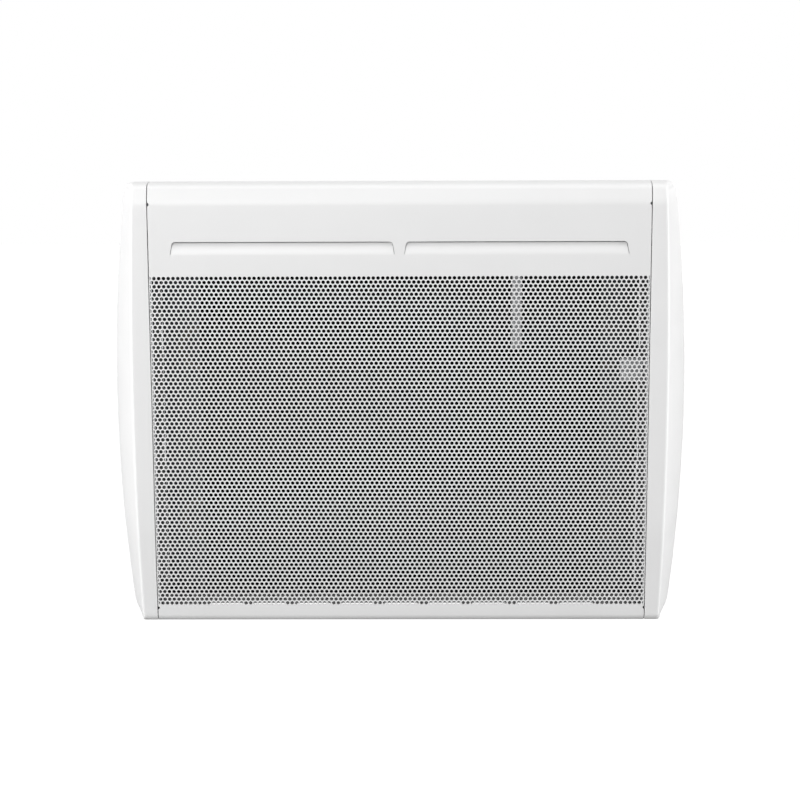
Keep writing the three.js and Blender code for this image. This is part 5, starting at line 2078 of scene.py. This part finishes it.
@dataclass
class Dial(SubAssembly):
    """A dial with a fluted flank, a raised finger bar and a pointer line."""

    name: str
    body: str
    skirt: float = 3.0
    taper: float = 1.5
    edge: float = 1.0
    grip_width: float = 4.0
    grip_height: float = 2.4
    flutes: int = 30
    flute_depth: float = 0.4
    edge_round: float = 0.45
    profile_step: float = 0.6
    line_width: float = 0.8
    line_place: float = 0.62
    line_reach: float = 0.3
    line_sink: float = 0.3

    def build(self) -> None:
        """Makes the dial and its pointer line."""
        node = f"{self.name}_dial"
        span = Span.of(node)
        x, depth, _ = span.centre
        radius = (span.x[1] - span.x[0]) / 2
        under, top = span.z
        plate = top - self.grip_height
        profile = [(0, under), (radius, under), (radius, under + self.skirt),
                   (radius - self.edge, under + self.skirt + 0.3),
                   (radius - self.taper, plate - self.edge),
                   (radius - self.taper - self.edge, plate), (0, plate)]
        low, high = under + self.skirt + 0.5, plate - self.edge

        def flute(along: float, angle: float) -> float:
            """Depth of the flutes at a place on the dial."""
            weight = max(0.0, min(1.0, (along - low) / 0.5, (high - along) / 0.5 + 0.6))
            return weight * self.flute_depth * (0.5 - 0.5 * math.cos(self.flutes * angle))

        fine: list[Pair] = []
        shape = softened(profile, self.edge_round)
        for here, there in zip(shape, shape[1:]):
            steps = max(1, int(abs(there[1] - here[1]) / self.profile_step))
            fine += [(here[0] + (there[0] - here[0]) * step / steps,
                      here[1] + (there[1] - here[1]) * step / steps) for step in range(steps)]
        fine.append(shape[-1])
        draft = MeshDraft()
        turn_into(draft, Axis.Z, (x, depth), fine, self.flutes * 6, flute)
        half = radius - self.taper - self.edge
        plinth_into(draft, Axis.Z, (x, depth), (self.grip_width / 2, half), self.grip_width / 2 - 0.1,
                    (plate - self.edge, top), 0.8)
        piece = draft.build(f"{self.name}_dial_body", 40.0)
        self.present(piece, WHITE_MOULDING, node, body=self.body)
        line = MeshDraft()
        plinth_into(line, Axis.Z, (x, depth - half * self.line_place),
                    (self.line_width / 2, half * self.line_reach), self.line_width / 2 - 0.02,
                    (top - self.line_sink, top), 0.05, 1)
        self.present(line.build(f"{self.name}_pointer"), DARK_INK, body=self.body)


@dataclass
class ControlUnit(SubAssembly):
    """The sunken control unit: housing, printed fascia, dials, rocker and pilot lens."""

    wall: float = 1.8
    ledge: float = 2.0
    body_inset: float = 2.3
    steel: float = 1.0
    corner: float = 3.0
    pocket_corner: float = 2.0
    rim_edge: float = 0.5
    rise_angle: float = 7.5
    number_height: float = 1.9
    number_gap: float = 1.9
    number_step: float = 45.0
    numbers: int = 6
    dot_gap: float = 1.7
    dot_step: float = 50.0
    dots: int = 4
    dot_radius: float = 0.35
    ink: float = 0.05
    rocker_tilt: float = 9.0
    rocker_half: float = 10.004
    rocker_width: float = 10.0
    rocker_thickness: float = 6.0
    rocker_crown: float = 2.2
    rocker_pivot: float = 206.938
    rocker_pin: Pair = (1.5, 6.5)
    rocker_edge: float = 0.35
    mark_place: float = 0.6
    mark_reach: Pair = (-0.3, 0.05)
    mark_line: Pair = (0.3, 1.3)
    mark_ring: Pair = (0.9, 1.4)
    lens: tuple[Pair, ...] = ((0, 0), (2, 0), (2, 0.8), (1.85, 1.3), (1.3, 1.8), (0, 2))

    def build(self) -> None:
        """Makes and dresses every piece of the unit that shows."""
        self._housing()
        Dial(self.finishes, "thermostat", "thermostat_knob").build()
        Dial(self.finishes, "selector", "selector_knob", flutes=24).build()
        self._numbers()
        self._dots()
        self._rocker()
        Turning(self.finishes, "pilot_dome", "pilot_lens", AMBER, Axis.Z, self.lens).build()

    def _housing(self) -> None:
        """The moulded tray: a rim that follows the crown, and a body with a deep pocket."""
        span, fascia = Span.of("control_housing"), Span.of("control_fascia")
        middle = span.centre[:2]
        rise = math.tan(math.radians(self.rise_angle))

        def top_at(depth: float) -> float:
            """Height of the crown over a depth."""
            return span.z[1] - (span.depth[1] - depth) * rise

        half = [(pair[1] - pair[0]) / 2 for pair in (span.x, span.depth)]
        inner = [value - self.body_inset for value in half]
        pocket, ledge = ([value - less for value in inner]
                         for less in (self.wall, self.wall + self.ledge))
        rim, body = MeshDraft(), MeshDraft()
        loops = []
        for inset, drop in ((0, self.steel), (0, self.rim_edge), (self.rim_edge, 0)):
            outline = rounded_rectangle(half[0] - inset, half[1] - inset, self.corner, middle)
            loops.append([rim.corner(spot(x, depth, top_at(depth) - drop)) for x, depth in outline])
        join_rings(rim, loops, capped=True)
        outline = rounded_rectangle(*inner, self.pocket_corner + self.wall, middle)
        join_rings(body, [[body.corner(spot(x, depth, span.z[0])) for x, depth in outline],
                          [body.corner(spot(x, depth, top_at(depth) - self.steel / 2))
                           for x, depth in outline]], capped=True)
        piece, tray = rim.build("housing_rim"), body.build("housing_tray")
        opening = rounded_rectangle(*pocket, self.pocket_corner, middle)
        for moulding in (piece, tray):
            tools = MeshDraft()
            draw_into(tools, Axis.Z, opening, fascia.z[0] - 0.3, span.z[1] + 2)
            cut(moulding, tools)
        cavity = MeshDraft()
        draw_into(cavity, Axis.Z, rounded_rectangle(*ledge, self.pocket_corner, middle),
                  span.z[0] + self.wall, fascia.z[0])
        self.present(cut(tray, cavity), WHITE_MOULDING)
        self.present(piece, WHITE_MOULDING, "control_housing")

    def _ring_place(self, dial: Span, gap: float, turn: float) -> Pair:
        """A place on the fascia around a dial, with the turn from the pointer's rest.

        Args:
            dial: Where the dial lies.
            gap: Distance from its flank.
            turn: Degrees from the pointer's rest.

        Returns:
            Place across and depth.
        """
        x, depth, _ = dial.centre
        reach = (dial.x[1] - dial.x[0]) / 2 + gap
        angle = math.radians(turn)
        return x + reach * math.sin(angle), depth - reach * math.cos(angle)

    def _numbers(self) -> None:
        """Plain numbers around the thermostat dial, and a dot at its rest."""
        dial, fascia = Span.of("thermostat_dial"), Span.of("control_fascia")
        draft = MeshDraft()
        for number in range(self.numbers + 1):
            x, depth = self._ring_place(dial, self.number_gap, number * self.number_step)
            if number:
                self._digit(draft, str(number), spot(x, depth, fascia.z[1]))
            else:
                turn_into(draft, Axis.Z, (x, depth), self._dot_profile(0.5, fascia.z[1]), 16)
        self.present(draft.build("thermostat_numbers", outward=False), DARK_INK)

    def _dots(self) -> None:
        """Dots of growing size around the selector dial."""
        dial, fascia = Span.of("selector_dial"), Span.of("control_fascia")
        draft = MeshDraft()
        for dot in range(self.dots):
            place = self._ring_place(dial, self.dot_gap, dot * self.dot_step)
            radius = self.dot_radius * (1 + dot / 2)
            turn_into(draft, Axis.Z, place, self._dot_profile(radius, fascia.z[1]), 20)
        self.present(draft.build("selector_dots"), DARK_INK)

    def _dot_profile(self, radius: float, floor: float) -> list[Pair]:
        """Profile of a printed dot on a surface."""
        return [(0, floor - self.ink), (radius, floor - self.ink), (radius, floor + self.ink),
                (0, floor + self.ink)]

    def _digit(self, draft: MeshDraft, digit: str, place: Vector) -> None:
        """Adds one printed digit, upright for someone who stands before the heater.

        Args:
            draft: Where it goes.
            digit: The digit.
            place: Its middle.
        """
        shape = bpy.data.curves.new("digit", "FONT")
        shape.body = digit
        shape.size = self.number_height * 1.4 * MM
        shape.align_x, shape.align_y = "CENTER", "CENTER"
        shape.extrude = self.ink * MM
        shape.resolution_u = 3
        holder = bpy.data.objects.new("digit", shape)
        bpy.context.scene.collection.objects.link(holder)
        graph = bpy.context.evaluated_depsgraph_get()
        mesh = bpy.data.meshes.new_from_object(holder.evaluated_get(graph))
        numbers = [draft.corner(vertex.co + place) for vertex in mesh.vertices]
        for polygon in mesh.polygons:
            draft.face(numbers[index] for index in polygon.vertices)
        bpy.data.objects.remove(holder)
        bpy.data.curves.remove(shape)
        bpy.data.meshes.remove(mesh)

    def _rocker(self) -> None:
        """The power rocker with a hollowed top, a line at one end and a ring at the other."""
        span = Span.of("power_rocker")
        x, depth, _ = span.centre
        half, low = self.rocker_half, -self.rocker_thickness / 2
        high, middle = -low, -low - self.rocker_crown / 2

        def top(place: float) -> float:
            """Height of the hollowed top over a place along the rocker."""
            return middle + (high - middle) * (place / half) ** 2

        crest = [(half * share, top(half * share)) for share in np.linspace(1, -1, 17)]
        outline = [(-half, low), (half, low), *crest]
        tilt = (Matrix.Translation(spot(x, depth, self.rocker_pivot))
                @ Matrix.Rotation(math.radians(self.rocker_tilt), 4, "X"))
        draft = MeshDraft()
        draw_into(draft, Axis.X, outline, -self.rocker_width / 2, self.rocker_width / 2)
        pin, end = self.rocker_pin
        turn_into(draft, Axis.X, (0, 0), [(0, -end), (pin, -end), (pin, end), (0, end)], 24)
        piece = draft.build("rocker_paddle")
        piece.data.transform(tilt)
        self.present(edged(piece, self.rocker_edge, 3), BLACK_MOULDING, "power_rocker",
                     body="power_switch")
        marks = MeshDraft()
        away = half * self.mark_place
        under, over = (top(away) + reach for reach in self.mark_reach)
        plinth_into(marks, Axis.Z, (0, away), self.mark_line, self.mark_line[0] - 0.02,
                    (under, over), 0.02, 1)
        inner, outer = self.mark_ring
        turn_into(marks, Axis.Z, (0, -away), [(inner, under), (outer, under), (outer, over),
                                              (inner, over), (inner, under)], 32)
        signs = marks.build("rocker_marks")
        signs.data.transform(tilt)
        self.present(signs, PALE_INK, body="power_switch")


# ---- Stage ----


@dataclass(frozen=True)
class SoftBox:
    """An area lamp: where it hangs, its size in metres and its power."""

    name: str
    place: tuple[float, float, float]
    width: float
    height: float
    power: float


@dataclass
class Stage:
    """Floor, light and camera."""

    floor_height: float = -1.05
    floor_reach: float = 9.0
    lens: float = 99.0
    camera_place: tuple[float, float, float] = (0.02, -2.284, 0.454)
    camera_turn: tuple[float, float, float] = (78.367, 0.219, 0.484)
    sky_strength: float = 0.495
    floor_glow: float = 0.94
    floor_tone: float = 0.13
    floor_roughness: float = 0.8
    sensor: float = 36.0
    boxes: tuple[SoftBox, ...] = (
        SoftBox("crown_box", (0.0, -0.62, 1.6), 1.8, 0.8, 7.8),
        SoftBox("front_box", (-0.9, -2.8, 0.75), 1.8, 1.2, 36.5),
        SoftBox("left_box", (-2.1, -0.25, 0.0), 1.4, 1.6, 24.6),
        SoftBox("right_box", (2.1, -0.25, 0.0), 1.4, 1.6, 29.8),
        SoftBox("rear_box", (0.0, 2.4, -0.55), 1.6, 0.8, 26.0),
    )
    target: tuple[float, float, float] = (0.0, -0.06, 0.0)

    def build(self) -> None:
        """Makes everything that isn't the heater."""
        self._camera()
        self._floor()
        self._world()
        for box in self.boxes:
            self._lamp(box)
        bpy.context.scene.view_settings.view_transform = "Standard"

    def _camera(self) -> None:
        """A long lens a little above the heater, looking down."""
        data = bpy.data.cameras.new("camera")
        data.lens, data.sensor_width = self.lens, self.sensor
        camera = bpy.data.objects.new("camera", data)
        camera.location = self.camera_place
        camera.rotation_euler = [math.radians(turn) for turn in self.camera_turn]
        bpy.context.scene.collection.objects.link(camera)
        bpy.context.scene.camera = camera

    def _lamp(self, box: SoftBox) -> None:
        """Hangs a soft box and aims it at the heater.

        Args:
            box: The soft box.
        """
        data = bpy.data.lights.new(box.name, "AREA")
        data.shape, data.size, data.size_y = "RECTANGLE", box.width, box.height
        data.energy = box.power
        lamp = bpy.data.objects.new(box.name, data)
        lamp.location = box.place
        aim = Vector(self.target) - Vector(box.place)
        lamp.rotation_euler = aim.to_track_quat("-Z", "Y").to_euler()
        bpy.context.scene.collection.objects.link(lamp)

    def _floor(self) -> None:
        """A pale floor that looks white where no shadow falls."""
        draft = MeshDraft()
        reach = self.floor_reach
        draft.face([draft.corner((x * reach, y * reach, self.floor_height))
                    for x, y in ((-1, -1), (1, -1), (1, 1), (-1, 1))])
        floor = draft.build("floor", outward=False)
        made = bpy.data.materials.new("pale_floor")
        made.use_nodes = True
        tree = made.node_tree
        seen = add_node(tree, "LightPath", {}).outputs["Is Camera Ray"]
        glow = add_node(tree, "Math", {0: seen, 1: self.floor_glow}, operation="MULTIPLY")
        feed(tree, tree.nodes["Principled BSDF"],
             {"Base Color": grey(self.floor_tone), "Roughness": self.floor_roughness,
              "Emission Color": grey(1), "Emission Strength": glow.outputs[0]})
        floor.data.materials.append(made)
        floor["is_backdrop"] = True

    def _world(self) -> None:
        """White to the eye, to gloss and to glass, and a softer light on everything."""
        world = bpy.data.worlds.new("studio")
        bpy.context.scene.world = world
        world.use_nodes = True
        tree = world.node_tree
        tree.nodes.clear()
        rays = add_node(tree, "LightPath", {}).outputs
        seen = rays["Is Camera Ray"]
        for name in ("Is Glossy Ray", "Is Transmission Ray"):
            seen = add_node(tree, "Math", {0: seen, 1: rays[name]}, operation="MAXIMUM").outputs[0]
        light, white = (
            add_node(tree, "Background", {"Color": grey(1), "Strength": strength}).outputs[0]
            for strength in (self.sky_strength, 1.0))
        mix = add_node(tree, "MixShader", {0: seen, 1: light, 2: white})
        add_node(tree, "OutputWorld", {"Surface": mix.outputs[0]})


# ---- Carried-over pieces ----


CARRIED: dict[Finish, tuple[str, ...]] = {
    ZINC: ("left_side_plate", "right_side_plate"),
    BRIGHT: ("left_upper_element_clip", "right_upper_element_clip", "left_lower_element_clip",
             "right_lower_element_clip"),
    BLUED: ("reflector",),
    BLACK_MOULDING: ("thermostat_body", "selector_body", "rocker_frame"),
    GREY_MOULDING: ("room_sensor", "control_fascia", "thermostat_spindle", "selector_spindle",
                    "terminal_block"),
    LAMINATE: ("circuit_board",),
}


def dress_carried(finishes: Finishes) -> None:
    """Gives each CAD node that is shown as it is its finish."""
    for finish, names in CARRIED.items():
        for name in names:
            finishes.dress(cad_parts[name], finish)


def main() -> None:
    """Builds the stage and the heater in order."""
    logging.basicConfig(level=logging.INFO, format="%(name)s %(message)s")
    finishes = Finishes()
    Stage().build()
    case = CaseSize()
    FrontSheet(finishes, case).build()
    for side in (-1, 1):
        Cheek(finishes, case, side).build()
    BackPanel(finishes, case).build()
    Fasteners(finishes).build()
    WallBracket(finishes).build()
    Interior(finishes).build()
    ControlUnit(finishes).build()
    dress_carried(finishes)
    lists = [[list(corner) for corner in box] for box in (CAD_BOX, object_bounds())]


if __name__ == "__main__":
    main()
